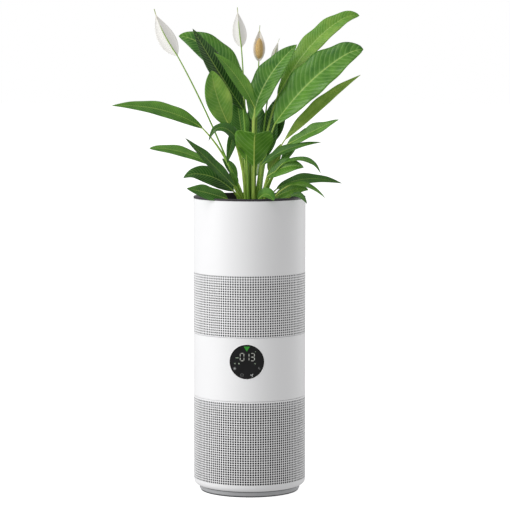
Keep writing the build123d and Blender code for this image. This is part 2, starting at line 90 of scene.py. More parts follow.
class ShellSettings(bpy.types.PropertyGroup):
    """Sizes of the white shells."""
    wall: length_setting("Wall", "Thickness of the moulded wall", 2.4 * MM)
    grille_wall: length_setting("Grille wall", "Thickness of the wall where it has holes", 0.9 * MM)
    columns: IntProperty(name="Columns", description="Holes round the tower", default=140)
    outlet_hole: length_setting("Outlet hole", "Width of an outlet hole", 3.45 * MM)
    intake_hole: length_setting("Intake hole", "Width of an intake hole", 3.75 * MM)
    # The ring behind these rows is a grey that paints less shade in their holes than the near-black liner
    # below them
    light_rows: IntProperty(name="Light rows", description="Rows with a pale ring behind them", default=3)
    outlet_rows: IntProperty(name="Outlet rows", description="Rows of outlet holes", default=25)
    outlet_low: length_setting("Outlet low", "Lower edge of the outlet holes", 314.3 * MM)
    outlet_high: length_setting("Outlet high", "Upper edge of the outlet holes", 433.2 * MM)
    intake_rows: IntProperty(name="Intake rows", description="Rows of intake holes", default=35)
    intake_low: length_setting("Intake low", "Lower edge of the intake holes", 25.3 * MM)
    intake_high: length_setting("Intake high", "Upper edge of the intake holes", 186.4 * MM)


class PlantSettings(bpy.types.PropertyGroup):
    """How the leaves curl."""
    fold: FloatProperty(name="Fold", description="Rise of a leaf's halves from its midrib", default=0.42)
    wave: FloatProperty(name="Wave", description="Waviness of a leaf's edge", default=0.09)
    seed: IntProperty(name="Seed", description="Start of the random draws", default=7)


class StageSettings(bpy.types.PropertyGroup):
    """Where the camera stands, and how strong the lights are."""
    distance: length_setting("Distance", "Camera to tower axis, along the floor", 4.642)
    height: length_setting("Height", "Camera above the floor", 0.877)
    azimuth: angle_setting("Azimuth", "Camera's turn round the tower from its front", 2.7)
    pitch: angle_setting("Pitch", "How far the camera looks down", 5.08)
    yaw: angle_setting("Yaw", "How far the camera looks past the axis", 0.134)
    lens: FloatProperty(name="Lens", description="Focal length on a 36 mm sensor", default=167.4)
    key: FloatProperty(name="Key", description="Power of the large light on the left", default=45)
    rim: FloatProperty(name="Rim", description="Power of the light behind the right side", default=16)
    top: FloatProperty(name="Top", description="Power of the light over the plant", default=7)
    bounce: FloatProperty(name="Bounce", description="Power of the light off the floor", default=0.8)
    ambient: FloatProperty(name="Ambient", default=0.53,
                           description="Brightness of the studio's white walls")


# ---------------------------------------------------------------- modelling helpers
def deselect():
    if bpy.context.object and bpy.context.object.mode != "OBJECT":
        bpy.ops.object.mode_set(mode="OBJECT")
    bpy.ops.object.select_all(action="DESELECT")


def activate(obj):
    deselect()
    obj.select_set(True)
    bpy.context.view_layer.objects.active = obj
    return obj


def modify(obj, kind, **settings):
    """Adds a modifier, sets it and applies it."""
    activate(obj)
    modifier = obj.modifiers.new(kind.title(), kind)
    for key, value in settings.items():
        setattr(modifier, key, value)
    bpy.ops.object.modifier_apply(modifier=modifier.name)
    return obj


def cleaned(obj, merge=1e-6):
    """Merges doubles and turns the normals outwards."""
    activate(obj)
    bpy.ops.object.mode_set(mode="EDIT")
    bpy.ops.mesh.select_all(action="SELECT")
    bpy.ops.mesh.remove_doubles(threshold=merge)
    bpy.ops.mesh.normals_make_consistent(inside=False)
    bpy.ops.object.mode_set(mode="OBJECT")
    return obj


def settled(obj, name, angle=35):
    """Names a piece, applies its place to its mesh and smooths its gentle edges."""
    activate(obj)
    obj.name = obj.data.name = name
    bpy.ops.object.transform_apply(location=True, rotation=True, scale=True)
    bpy.ops.object.shade_smooth_by_angle(angle=radians(angle))
    return obj


def joined(objs, name):
    first, *others = objs
    activate(first)
    for other in others:
        other.select_set(True)
    if others:
        bpy.ops.object.join()
    first.name = first.data.name = name
    return first


def turned(name, corners, rounds=(), steps=280, angle=35):
    """A ring or disc turned about Z from (radius, height) corners. rounds are (corner number, radius)."""
    deselect()
    bpy.ops.mesh.primitive_plane_add(size=1 * MM, location=(0, 0, 0))
    obj = bpy.context.object
    bpy.ops.object.mode_set(mode="EDIT")
    bpy.ops.mesh.select_all(action="SELECT")
    bpy.ops.mesh.merge(type="CENTER")
    start = Vector((corners[0][0], 0, corners[0][1]))
    bpy.ops.transform.translate(value=start)
    here = start
    for radius, height in corners[1:]:
        there = Vector((radius, 0, height))
        bpy.ops.mesh.extrude_region_move(TRANSFORM_OT_translate={"value": there - here})
        here = there
    mesh = bmesh.from_edit_mesh(obj.data)
    mesh.verts.ensure_lookup_table()
    ends = [v for v in mesh.verts if len(v.link_edges) == 1]
    if corners[0][0] > 0 or corners[-1][0] > 0:
        for v in mesh.verts:
            v.select = v in ends
        bmesh.update_edit_mesh(obj.data)
        bpy.ops.mesh.edge_face_add()
    for number, radius in rounds:
        spot = Vector((corners[number][0], 0, corners[number][1]))
        mesh = bmesh.from_edit_mesh(obj.data)
        nearest = min(mesh.verts, key=lambda v: (v.co - spot).length)
        for v in mesh.verts:
            v.select = v == nearest
        mesh.select_flush_mode()
        bmesh.update_edit_mesh(obj.data)
        segments = 8 if radius > 3 * MM else 4
        bpy.ops.mesh.bevel(offset=radius, offset_type="OFFSET", segments=segments, affect="VERTICES")
    bpy.ops.mesh.select_all(action="SELECT")
    bpy.ops.mesh.spin(steps=steps, angle=2 * pi, center=(0, 0, 0), axis=(0, 0, 1))
    bpy.ops.object.mode_set(mode="OBJECT")
    cleaned(obj, 2e-6)
    return settled(obj, name, angle)


# ---------------------------------------------------------------- material helpers
def linear(text):
    """Linear RGBA of an sRGB hex colour."""
    parts = [int(text[i:i + 2], 16) / 255 for i in (0, 2, 4)]
    return (*[c / 12.92 if c <= 0.04045 else ((c + 0.055) / 1.055) ** 2.4 for c in parts], 1)


def plug(tree, node, inputs):
    """Sets a node's inputs, each from a number, an sRGB hex colour, a socket or another node."""
    for socket, value in inputs.items():
        if isinstance(value, bpy.types.Node):
            tree.links.new(value.outputs[0], node.inputs[socket])
        elif isinstance(value, bpy.types.NodeSocket):
            tree.links.new(value, node.inputs[socket])
        else:
            node.inputs[socket].default_value = linear(value) if isinstance(value, str) else value


def add_node(tree, kind, inputs=None, stops=(), **settings):
    """Adds one node with its settings, its inputs and, for a ramp, its (position, colour) stops."""
    made = tree.nodes.new(kind)
    for key, value in settings.items():
        if hasattr(made, key) and key not in made.inputs:
            setattr(made, key, value)
        else:
            made.inputs[key.replace("_", " ")].default_value = value
    for number, (position, colour) in enumerate(stops):
        if number not in (0, len(stops) - 1):
            made.color_ramp.elements.new(position).color = linear(colour)
        else:
            end = made.color_ramp.elements[-1 if number else 0]
            end.position, end.color = position, linear(colour)
    plug(tree, made, inputs or {})
    return made


def new_material(name, **sockets):
    """A material with a Principled shader whose sockets are set, and its tree and shader."""
    material = bpy.data.materials.get(name)
    if material:
        return material, None, None
    material = bpy.data.materials.new(name)
    material.use_nodes = True
    tree = material.node_tree
    shader = tree.nodes["Principled BSDF"]
    for key, value in sockets.items():
        shader.inputs[key.replace("_", " ")].default_value = value
    return material, tree, shader


def coat_with(obj, material):
    obj.data.materials.clear()
    obj.data.materials.append(material)
    return obj


def grained(name, colour, grain_mm, depth_mm, roughness, specular=0.5, tint=0.04, **sockets):
    """Moulded plastic or rubber: a fine spark-eroded grain of real size, with faint colour drift."""
    material, tree, shader = new_material(name, Roughness=roughness, Specular_IOR_Level=specular,
                                          **sockets)
    if tree is None:
        return material
    spot = add_node(tree, PLACE).outputs["Object"]
    grain = add_node(tree, NOISE, {"Vector": spot}, Scale=1 / (grain_mm * MM), Detail=2.0)
    bump = add_node(tree, BUMP, {"Height": grain.outputs["Fac"]},
                    Strength=0.35, Distance=depth_mm * MM)
    drift = add_node(tree, NOISE, {"Vector": spot}, Scale=9.0, Detail=3.0)
    base = linear(colour)
    ramp = add_node(tree, RAMP, {"Fac": drift.outputs["Fac"]})
    ramp.color_ramp.elements[0].position, ramp.color_ramp.elements[1].position = 0.35, 0.65
    ramp.color_ramp.elements[0].color = (*[c * (1 - tint) for c in base[:3]], 1)
    ramp.color_ramp.elements[1].color = base
    plug(tree, shader, {"Base Color": ramp.outputs["Color"], "Normal": bump.outputs["Normal"]})
    return material


def white_abs():
    # Injection-moulded white ABS with a fine satin grain: soft highlights, no mirror image
    return grained("white moulded ABS", "EFEFF0", 0.5, 0.02, 0.5, 0.36, tint=0.012)


def living_leaf():
    # Peace lily leaf: a waxy dark upper skin with paler veins, which gives a soft sheen over deep green
    material, tree, shader = new_material("waxy peace lily leaf", Roughness=0.36,
                                          Specular_IOR_Level=0.38)
    if tree is None:
        return material
    tone, veins, across = (add_node(tree, VALUE, attribute_name=layer).outputs["Fac"]
                           for layer in LAYERS)
    spot = add_node(tree, PLACE).outputs["Object"]
    mottle = add_node(tree, NOISE, {"Vector": spot}, Scale=45.0, Detail=4.0)
    # The tone attribute carries painted light and shade as well as the leaf's own green; high tones reach
    # the ramp's pale yellow-green end, which is partly a painted highlight
    shade = add_node(tree, MATH,
                     {0: mottle.outputs["Fac"], 1: 0.52,
                      2: add_node(tree, MATH, {0: tone, 1: 0.25},
                                  operation="SUBTRACT")}, operation="MULTIPLY_ADD")
    base = add_node(tree, RAMP, {"Fac": shade},
                    [(0.0, "0F3A0A"), (0.3, "2C660C"), (0.62, "62982A"), (1.0, "B2D05C")])
    line = add_node(tree, MATH, {0: veins, 1: 0.5}, operation="PINGPONG")
    furrow = add_node(tree, MATH,
                      {0: 1.0, 1: add_node(tree, MATH, {0: line, 1: 5.0}, operation="MULTIPLY",
                                           use_clamp=True)}, operation="SUBTRACT", use_clamp=True)
    rib = add_node(tree, MATH, {0: 1.0,
                                1: add_node(tree, MATH, {0: across, 1: 16.0}, operation="MULTIPLY",
                                            use_clamp=True)}, operation="SUBTRACT", use_clamp=True)
    thread = add_node(tree, MATH,
                      {0: add_node(tree, MATH, {0: veins, 1: 4.0}, operation="MULTIPLY"),
                       1: 0.5}, operation="PINGPONG")
    threaded = add_node(tree, MIX,
                        {0: add_node(tree, MATH, {0: thread, 1: 0.22}, operation="MULTIPLY"), 6: base,
                         7: "7FA860"}, data_type="RGBA").outputs[2]
    veined = add_node(tree, MIX,
                      {0: add_node(tree, MATH, {0: furrow, 1: 0.34}, operation="MULTIPLY"), 6: threaded,
                       7: "94BE66"}, data_type="RGBA").outputs[2]
    ribbed = add_node(tree, MIX,
                      {0: add_node(tree, MATH, {0: rib, 1: 0.8}, operation="MULTIPLY"), 6: veined,
                       7: "A9C860"}, data_type="RGBA").outputs[2]
    plug(tree, shader, {"Base Color": ribbed})
    fine = add_node(tree, NOISE, {"Vector": spot}, Scale=900.0, Detail=2.0)
    height = add_node(tree, MATH,
                      {0: line, 1: 1.2,
                       2: add_node(tree, MATH, {0: fine.outputs["Fac"], 1: 0.25},
                                   operation="MULTIPLY")}, operation="MULTIPLY_ADD")
    plug(tree, shader, {"Normal": add_node(tree, BUMP, {"Height": height}, Strength=0.55,
                                           Distance=0.9 * MM)})
    rough = add_node(tree, MATH, {0: mottle.outputs["Fac"], 1: 0.2, 2: 0.27}, operation="MULTIPLY_ADD")
    plug(tree, shader, {"Roughness": rough})
    return material


def living_stalk():
    # Fresh leaf stalk: a smooth pale green skin with fine fibres along it, darker near the soil
    material, tree, shader = new_material("fresh green stalk", Roughness=0.42, Specular_IOR_Level=0.4)
    if tree is None:
        return material
    tone = add_node(tree, VALUE, attribute_name="tone").outputs["Fac"]
    fibre = add_node(tree, MAPPING, {"Vector": add_node(tree, PLACE).outputs["Object"]},
                     Scale=(700, 700, 30))
    streak = add_node(tree, NOISE, {"Vector": fibre.outputs["Vector"]}, Scale=1.0, Detail=3.0)
    shade = add_node(tree, MATH,
                     {0: streak.outputs["Fac"], 1: 0.5,
                      2: add_node(tree, MATH, {0: tone, 1: 0.25},
                                  operation="SUBTRACT")}, operation="MULTIPLY_ADD")
    # The ramp's pale end, reached by high tones, is partly a painted highlight
    colour = add_node(tree, RAMP, {"Fac": shade}, [(0.0, "2C5A16"), (0.35, "6FA332"), (1.0, "C6DC6C")])
    plug(tree, shader, {"Base Color": colour})
    plug(tree, shader, {"Normal": add_node(tree, BUMP, {"Height": streak.outputs["Fac"]}, Strength=0.4,
                                           Distance=0.3 * MM)})
    return material


def flower_hood():
    # Thin white spathe: paper-like skin with faint grey-violet veins, yellow-green at its tip
    material, tree, shader = new_material("thin white spathe", Roughness=0.55, Specular_IOR_Level=0.3)
    if tree is None:
        return material
    tone, veins, across = (add_node(tree, VALUE, attribute_name=layer).outputs["Fac"]
                           for layer in LAYERS)
    line = add_node(tree, MATH, {0: veins, 1: 0.5}, operation="PINGPONG")
    furrow = add_node(tree, MATH,
                      {0: 1.0, 1: add_node(tree, MATH, {0: line, 1: 4.0}, operation="MULTIPLY",
                                           use_clamp=True)}, operation="SUBTRACT", use_clamp=True)
    body = add_node(tree, RAMP, {"Fac": tone},
                    [(0.0, "FBF9F5"), (0.5, "F1EBE0"), (0.9, "B7C25C"), (1.0, "93AD3C")])
    veined = add_node(tree, MIX,
                      {0: add_node(tree, MATH, {0: furrow, 1: 0.22}, operation="MULTIPLY"), 6: body,
                       7: "D2CCC6"}, data_type="RGBA").outputs[2]
    rib = add_node(tree, MATH, {0: 1.0,
                                1: add_node(tree, MATH, {0: across, 1: 11.0}, operation="MULTIPLY",
                                            use_clamp=True)}, operation="SUBTRACT", use_clamp=True)
    ribbed = add_node(tree, MIX,
                      {0: add_node(tree, MATH, {0: rib, 1: 0.55}, operation="MULTIPLY"), 6: veined,
                       7: "B5B878"}, data_type="RGBA").outputs[2]
    plug(tree, shader, {"Base Color": ribbed})
    plug(tree, shader, {"Normal": add_node(tree, BUMP, {"Height": line}, Strength=0.3,
                                           Distance=0.15 * MM)})
    return material


def flower_spike():
    # Spadix: tiny close-set florets about 1.2 mm wide, which gives a knobbly cream to tan surface, darker
    # between the florets as painted shade
    material, tree, shader = new_material("knobbly flower spike", Roughness=0.7, Specular_IOR_Level=0.3)
    if tree is None:
        return material
    tone = add_node(tree, VALUE, attribute_name="tone").outputs["Fac"]
    cells = add_node(tree, CELLS, {"Vector": add_node(tree, PLACE).outputs["Object"]},
                     Scale=1 / (1.6 * MM))
    # Darker at the edges of each floret cell, the low parts of the bump: painted shade between the
    # florets
    shade = add_node(tree, MATH,
                     {0: cells.outputs["Distance"], 1: -0.3,
                      2: add_node(tree, MATH, {0: tone, 1: 0.12},
                                  operation="ADD")}, operation="MULTIPLY_ADD")
    colour = add_node(tree, RAMP, {"Fac": shade},
                      [(0.0, "8D7A3A"), (0.35, "CDBB73"), (0.6, "E6DCA4"), (1.0, "CFA463")])
    plug(tree, shader, {"Base Color": colour})
    height = add_node(tree, MATH, {0: 1.0, 1: cells.outputs["Distance"]}, operation="SUBTRACT")
    plug(tree, shader, {"Normal": add_node(tree, BUMP, {"Height": height},
                                           Strength=0.8, Distance=1.0 * MM)})
    return material


def potting_mix():
    # Damp peat with bark crumbs of 2 to 4 mm and white perlite specks: dark, rough, uneven
    material, tree, shader = new_material("damp potting mix", Roughness=0.92, Specular_IOR_Level=0.25)
    if tree is None:
        return material
    spot = add_node(tree, PLACE).outputs["Object"]
    crumbs = add_node(tree, CELLS, {"Vector": spot}, Scale=1 / (3.2 * MM))
    damp = add_node(tree, NOISE, {"Vector": spot}, Scale=60.0, Detail=6.0)
    base = add_node(tree, RAMP, {"Fac": damp.outputs["Fac"]},
                    [(0.3, "120C08"), (0.55, "2A1C13"), (0.8, "4A3423")])
    perlite = add_node(tree, CELLS, {"Vector": spot}, Scale=1 / (7 * MM))
    speck = add_node(tree, MATH, {0: perlite.outputs["Distance"], 1: 0.13}, operation="LESS_THAN")
    plug(tree, shader, {"Base Color": add_node(tree, MIX, {0: speck, 6: base, 7: "CFCBC2"},
                                               data_type="RGBA").outputs[2]})
    plug(tree, shader, {"Normal": add_node(tree, BUMP, {"Height": crumbs.outputs["Distance"]},
                                           Strength=0.9, Distance=1.6 * MM)})
    return material


def display_glass():
    # Black-backed acrylic: a deep glossy black with a blacker printed border
    material, tree, shader = new_material("smoked acrylic display window", Roughness=0.14,
                                          Specular_IOR_Level=0.3, IOR=1.49)
    if tree is None:
        return material
    spot = add_node(tree, PLACE).outputs["Object"]
    centre = add_node(tree, MAPPING, {"Vector": spot}, Location=(0, 0, -DISPLAY_Z))
    flat = add_node(tree, "ShaderNodeVectorMath", {"Vector": centre.outputs["Vector"]},
                    operation="MULTIPLY")
    flat.inputs[1].default_value = (1, 0, 1)
    away = add_node(tree, "ShaderNodeVectorMath", {"Vector": flat.outputs["Vector"]},
                    operation="LENGTH")
    share = add_node(tree, MATH, {0: away.outputs["Value"], 1: LENS_R}, operation="DIVIDE")
    haze = add_node(tree, NOISE, {"Vector": spot}, Scale=55.0, Detail=2.0)
    inside = add_node(tree, RAMP, {"Fac": haze.outputs["Fac"]}, [(0.35, "0B0B0C"), (0.65, "121314")])
    border = add_node(tree, MATH, {0: share, 1: 0.955}, operation="GREATER_THAN")
    plug(tree, shader, {"Base Color": add_node(tree, MIX, {0: border, 6: inside, 7: "010101"},
                                               data_type="RGBA").outputs[2]})
    return material


def lit(name, colour, strength, dim=None):
    """A light-emitting mark behind the window, a little uneven from its LED."""
    material, tree, shader = new_material(name, Roughness=0.5, Base_Color=linear("101010"),
                                          Emission_Strength=strength)
    if tree is None:
        return material
    glow = add_node(tree, NOISE, {"Vector": add_node(tree, PLACE).outputs["Object"]}, Scale=260.0,
                    Detail=1.0)
    colours = add_node(tree, RAMP, {"Fac": glow.outputs["Fac"]},
                       [(0.35, dim or colour), (0.62, colour)])
    plug(tree, shader, {"Emission Color": colours})
    return material


def brushed(name, colour, roughness, streak_mm=0.4, metallic=1.0, ring=False):
    """Bare metal with fine drawn or turned streaks."""
    material, tree, shader = new_material(name, Roughness=roughness, Metallic=metallic)
    if tree is None:
        return material
    fine, coarse = 1 / (streak_mm * MM), 20
    stretch = (coarse, coarse, fine) if ring else (fine, fine, coarse)
    streaks = add_node(tree, MAPPING, {"Vector": add_node(tree, PLACE).outputs["Object"]},
                       Scale=stretch)
    noise = add_node(tree, NOISE, {"Vector": streaks.outputs["Vector"]}, Scale=1.0, Detail=3.0)
    darker = "".join(f"{int(int(colour[i:i + 2], 16) * 0.86):02X}" for i in (0, 2, 4))
    plug(tree, shader, {"Base Color": add_node(tree, RAMP, {"Fac": noise.outputs["Fac"]},
                                               [(0.3, darker), (0.7, colour)])})
    plug(tree, shader, {"Roughness": add_node(tree, MATH,
                                              {0: noise.outputs["Fac"], 1: 0.2,
                                               2: roughness - 0.1}, operation="MULTIPLY_ADD")})
    plug(tree, shader, {"Normal": add_node(tree, BUMP, {"Height": noise.outputs["Fac"]}, Strength=0.3,
                                           Distance=0.02 * MM)})
    return material


def cellular(name, dark, light, cell_mm, depth_mm, roughness):
    """Foam, carbon pellets, mesh cloth or fibre: cells of a real size."""
    material, tree, shader = new_material(name, Roughness=roughness, Specular_IOR_Level=0.25)
    if tree is None:
        return material
    cells = add_node(tree, CELLS, {"Vector": add_node(tree, PLACE).outputs["Object"]},
                     Scale=1 / (cell_mm * MM))
    # Paler at the cells' middles and darker where they meet, the low parts of the bump: painted shade in
    # the gaps between cells
    plug(tree, shader, {"Base Color": add_node(tree, RAMP, {"Fac": cells.outputs["Distance"]},
                                               [(0.1, light), (0.7, dark)])})
    height = add_node(tree, MATH, {0: 1.0, 1: cells.outputs["Distance"]}, operation="SUBTRACT")
    plug(tree, shader, {"Normal": add_node(tree, BUMP, {"Height": height},
                                           Strength=0.8, Distance=depth_mm * MM)})
    return material


def wound_copper():
    # Enamelled copper wire of 0.4 mm laid in turns: a glossy orange-brown ribbing, darker in the grooves
    # between turns as painted shade
    material, tree, shader = new_material("enamelled copper wire", Roughness=0.28, Metallic=0.85)
    if tree is None:
        return material
    turns = add_node(tree, "ShaderNodeTexWave", {"Vector": add_node(tree, PLACE).outputs["Object"]},
                     bands_direction="Z",
                     Scale=0.5 / (0.8 * MM * pi), Distortion=0.4)
    plug(tree, shader, {"Base Color": add_node(tree, RAMP, {"Fac": turns.outputs["Fac"]},
                                               [(0.0, "7A3517"), (1.0, "C9743A")])})
    plug(tree, shader, {"Normal": add_node(tree, BUMP, {"Height": turns.outputs["Fac"]}, Strength=0.9,
                                           Distance=0.3 * MM)})
    return material


def solder_mask():
    # Green solder resist over etched copper tracks about 1.5 mm apart: satin green with paler lines
    material, tree, shader = new_material("green solder-masked board", Roughness=0.35)
    if tree is None:
        return material
    spot = add_node(tree, PLACE).outputs["Object"]
    tracks = add_node(tree, CELLS, {"Vector": spot}, distance="MANHATTAN",
                      feature="F1", Scale=1 / (4 * MM))
    edge = add_node(tree, MATH, {0: add_node(tree, MATH, {0: tracks.outputs["Distance"], 1: 4.0},
                                             operation="MULTIPLY"), 1: 0.5}, operation="PINGPONG")
    line = add_node(tree, MATH, {0: edge, 1: 0.36}, operation="GREATER_THAN")
    plug(tree, shader, {"Base Color": add_node(tree, MIX, {0: line, 6: "0B4A22", 7: "1C6E38"},
                                               data_type="RGBA").outputs[2]})
    plug(tree, shader, {"Normal": add_node(tree, BUMP, {"Height": line}, Strength=0.6,
                                           Distance=0.05 * MM)})
    return material


def finishes():
    """The material of each of the record's slots."""
    return {
        "white_shell": white_abs(),
        # Moulded grey ABS with a satin grain
        "foot_grey": grained("grey moulded ABS", "B3B4B6", 0.5, 0.02, 0.45, tint=0.03),
        # Moulded rubber: dark, dull, slightly dusty
        "rubber_dark": grained("moulded dark rubber", "58595C", 0.8, 0.05, 0.8, 0.3, 0.2),
        # Charcoal polypropylene with a spark-eroded grain: dull with a faint sheen on its edge
        "pot_charcoal": grained("charcoal polypropylene", "302D31", 0.7, 0.04, 0.5, 0.4, 0.12),
        "soil": potting_mix(), "leaf_green": living_leaf(), "stalk_green": living_stalk(),
        "spathe_white": flower_hood(), "spadix_cream": flower_spike(), "display_glass": display_glass(),
        # Black ABS with a fine grain
        "black_plastic": grained("black moulded ABS", "1C1C1E", 0.5, 0.03, 0.5, 0.4, 0.15),
        # Plain grey ABS of the inner frame, left as it came from the mould; behind the grilles' top rows
        # the same grey is painted shade, lighter than the liner below
        "inner_plastic": grained("dark grey moulded ABS", "5A5B5E", 0.9, 0.03, 0.55, 0.4, 0.06),
        # Glass-filled nylon: dark grey with a mottled, slightly rough skin
        "impeller_plastic": grained("glass-filled nylon", "47484B", 1.4, 0.04, 0.5, 0.4, 0.14),
        # Milky acrylic that spreads the light of the LEDs
        "diffusing_plastic": grained("milky diffusing acrylic", "DADADA", 2.0, 0.01, 0.3, 0.5, 0.03),
        # Zinc-plated steel screws and pressings
        "steel": brushed("zinc-plated steel", "B8BABD", 0.32),
        # Ground and polished bearing steel
        "bearing_steel": brushed("ground bearing steel", "C9CACC", 0.16, 0.2, ring=True),
        "copper": wound_copper(),
        # Nickel-plated magnet, grey with a soft gloss
        "magnet": brushed("nickel-plated magnet", "8D8F92", 0.3, 0.6),
        "circuit_board": solder_mask(),
        # Epoxy-moulded parts on the board
        "components": grained("epoxy-moulded components", "222326", 1.2, 0.04, 0.5, 0.5, 0.3),
        # Pleated glass-fibre paper: white, matt, with matted fibres under a millimetre
        "filter_paper": cellular("pleated fibre paper", "DAD9D2", "F2F1EC", 0.7, 0.15, 0.95),
        # Activated carbon pellets of about 3 mm
        "carbon": cellular("activated carbon pellets", "060606", "2B2B2C", 3.0, 1.2, 0.75),
        # Woven nylon mesh: dark threads about 1 mm apart; the same near-black also lines the grilles,
        # where it is painted shade inside their holes
        "prefilter_mesh": cellular("woven nylon mesh", "050505", "161617", 1.0, 0.3, 0.8),
        # Dark grey polypropylene end caps
        "filter_cap": grained("dark grey polypropylene", "35363A", 0.8, 0.03, 0.55, 0.4, 0.08),
        # Open-cell sealing foam
        "foam": cellular("open-cell sealing foam", "141415", "3B3B3D", 0.9, 0.5, 0.95),
        # Translucent grey silicone rubber
        "silicone": grained("grey silicone rubber", "77787A", 1.5, 0.01, 0.4, 0.45, 0.05),
    }


# ---------------------------------------------------------------- shells
def perforated(name, low, high, rows, hole, shell):
    """A round wall with rows of eight-sided holes, bent from a flat strip."""
    width, height = 2 * pi * SHELL_R / shell.columns, (high - low) / rows
    deselect()
    bpy.ops.mesh.primitive_circle_add(vertices=4, radius=0.5 * math.sqrt(2), rotation=(pi / 2, pi / 4, 0))
    cell = bpy.context.object
    bpy.ops.object.transform_apply(location=False, rotation=True, scale=True)
    cell.scale = (width, 1, height)
    bpy.ops.object.transform_apply(location=False, rotation=False, scale=True)
    bpy.ops.object.mode_set(mode="EDIT")
    bpy.ops.mesh.select_all(action="DESELECT")
    corner = 0.5 * hole / cos(pi / 8)
    bpy.ops.mesh.primitive_circle_add(vertices=8, radius=corner, rotation=(pi / 2, pi / 8, 0))
    bpy.ops.mesh.select_all(action="SELECT")
    bpy.ops.mesh.bridge_edge_loops()
    bpy.ops.object.mode_set(mode="OBJECT")
    for count, step in ((shell.columns, (width, 0, 0)), (rows, (0, 0, height))):
        modify(cell, "ARRAY", count=count, use_relative_offset=False, use_constant_offset=True,
               constant_offset_displace=step, use_merge_vertices=True, merge_threshold=1e-5)
    cell.location = (-(shell.columns - 1) * width / 2, 0, low + height / 2)
    bpy.ops.object.transform_apply(location=True, rotation=False, scale=False)
    modify(cell, "SIMPLE_DEFORM", deform_method="BEND", deform_axis="Z", angle=2 * pi)
    cell.location = (0, -SHELL_R, 0)
    bpy.ops.object.transform_apply(location=True, rotation=False, scale=False)
    cleaned(cell, 1e-5)
    modify(cell, "SOLIDIFY", thickness=shell.grille_wall, offset=-1, use_even_offset=False)
    return settled(cell, name, 40)


def softbox(name, power, size, azimuth, away, height, aim_height):
    """A soft square light that stands round the tower at an azimuth from its front."""
    turn = radians(azimuth)
    spot = Vector((away * sin(turn), -away * cos(turn), height))
    deselect()
    bpy.ops.object.light_add(type="AREA", location=spot)
    light = bpy.context.object
    light.name = name
    light.data.shape = "RECTANGLE"
    light.data.size, light.data.size_y = size
    light.data.energy = power
    light.rotation_mode = "QUATERNION"
    light.rotation_quaternion = (Vector((0, 0, aim_height)) - spot).to_track_quat("-Z", "Y")
    return light


class PURIFIER_OT_stage(bpy.types.Operator):
    """Lay the pale floor, hang the soft lights and stand the camera"""
    bl_idname = "purifier.stage"
    bl_label = "Stage"

    def execute(self, context):
        stage = context.scene.purifier_stage
        deselect()
        bpy.ops.mesh.primitive_plane_add(size=60, location=(0, 0, -0.2 * MM))
        floor = settled(context.object, "floor")
        # Matt white backdrop paper, lit from below so that it reads as one even white
        material, tree, shader = new_material(
            "matt white backdrop paper", Roughness=0.9, Base_Color=linear("FBFBFB"),
            Specular_IOR_Level=0.0, Emission_Color=linear("FFFFFF"), Emission_Strength=0.68)
        coat_with(floor, material)
        floor.visible_diffuse = False
        floor.visible_glossy = False

        softbox("key_softbox", stage.key, (1.4, 2.6), -68, 2.6, 1.15, 0.55)
        softbox("rim_softbox", stage.rim, (0.7, 2.2), 128, 2.4, 0.9, 0.5)
        softbox("top_softbox", stage.top, (1.2, 1.2), -40, 1.3, 2.3, 0.7)

        # Light that the white floor throws up at the tower's foot
        deselect()
        bpy.ops.object.light_add(type="AREA", location=(-0.3, -0.55, 4 * MM), rotation=(pi, 0, 0))
        bounce = context.object
        bounce.name = "floor_bounce"
        bounce.data.shape = "RECTANGLE"
        bounce.data.size, bounce.data.size_y, bounce.data.energy = 1.0, 0.6, stage.bounce
        bounce.visible_camera = False

        world = bpy.data.worlds.new("white studio")
        context.scene.world = world
        world.use_nodes = True
        tree = world.node_tree
        shown, lighting = tree.nodes["Background"], tree.nodes.new("ShaderNodeBackground")
        shown.inputs["Color"].default_value = lighting.inputs["Color"].default_value = (1, 1, 1, 1)
        lighting.inputs["Strength"].default_value = stage.ambient
        rays = tree.nodes.new("ShaderNodeLightPath")
        mix = add_node(tree, "ShaderNodeMixShader", {"Fac": rays.outputs["Is Camera Ray"]})
        tree.links.new(lighting.outputs["Background"], mix.inputs[1])
        tree.links.new(shown.outputs["Background"], mix.inputs[2])
        tree.links.new(mix.outputs["Shader"], tree.nodes["World Output"].inputs["Surface"])
        context.scene.view_settings.view_transform = "Standard"

        camera = bpy.data.cameras.new("camera")
        camera.lens, camera.sensor_width = stage.lens, 36
        camera.clip_end = 100
        holder = bpy.data.objects.new("camera", camera)
        context.scene.collection.objects.link(holder)
        holder.location = (stage.distance * sin(stage.azimuth), -stage.distance * cos(stage.azimuth),
                           stage.height)
        holder.rotation_euler = (pi / 2 - stage.pitch, 0, stage.azimuth - stage.yaw)
        context.scene.camera = holder
        return {"FINISHED"}


def coat_shell(pieces, node):
    """Finishes the white pieces, which stand in for a shell of the frame, and hides that shell."""
    for piece in pieces:
        coat_with(piece, white_abs())
        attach(piece, "housing")
    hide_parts(node)


class PURIFIER_OT_lower_shell(bpy.types.Operator):
    """Model the intake grille and the rounded bottom edge"""
    bl_idname = "purifier.lower_shell"
    bl_label = "Lower shell"

    def execute(self, context):
        shell = context.scene.purifier_shell
        grille = perforated("intake_grille", shell.intake_low, shell.intake_high, shell.intake_rows,
                            shell.intake_hole, shell)
        inner, lip = SHELL_R - shell.wall, 95.6 * MM
        low, edge = LOWER_LOW.z, 9 * MM
        skirt = turned("shell_skirt", [
            (lip, low), (SHELL_R, low), (SHELL_R, shell.intake_low),
            (inner, shell.intake_low), (inner, low + shell.wall), (lip, low + shell.wall),
        ], [(1, edge), (4, edge - shell.wall)])
        collar = turned("shell_collar", [
            (inner, shell.intake_high), (SHELL_R, shell.intake_high),
            (SHELL_R, LOWER_HIGH.z), (inner, LOWER_HIGH.z),
        ], [(2, 0.5 * MM)])
        coat_shell((grille, skirt, collar), "lower_shell")
        return {"FINISHED"}


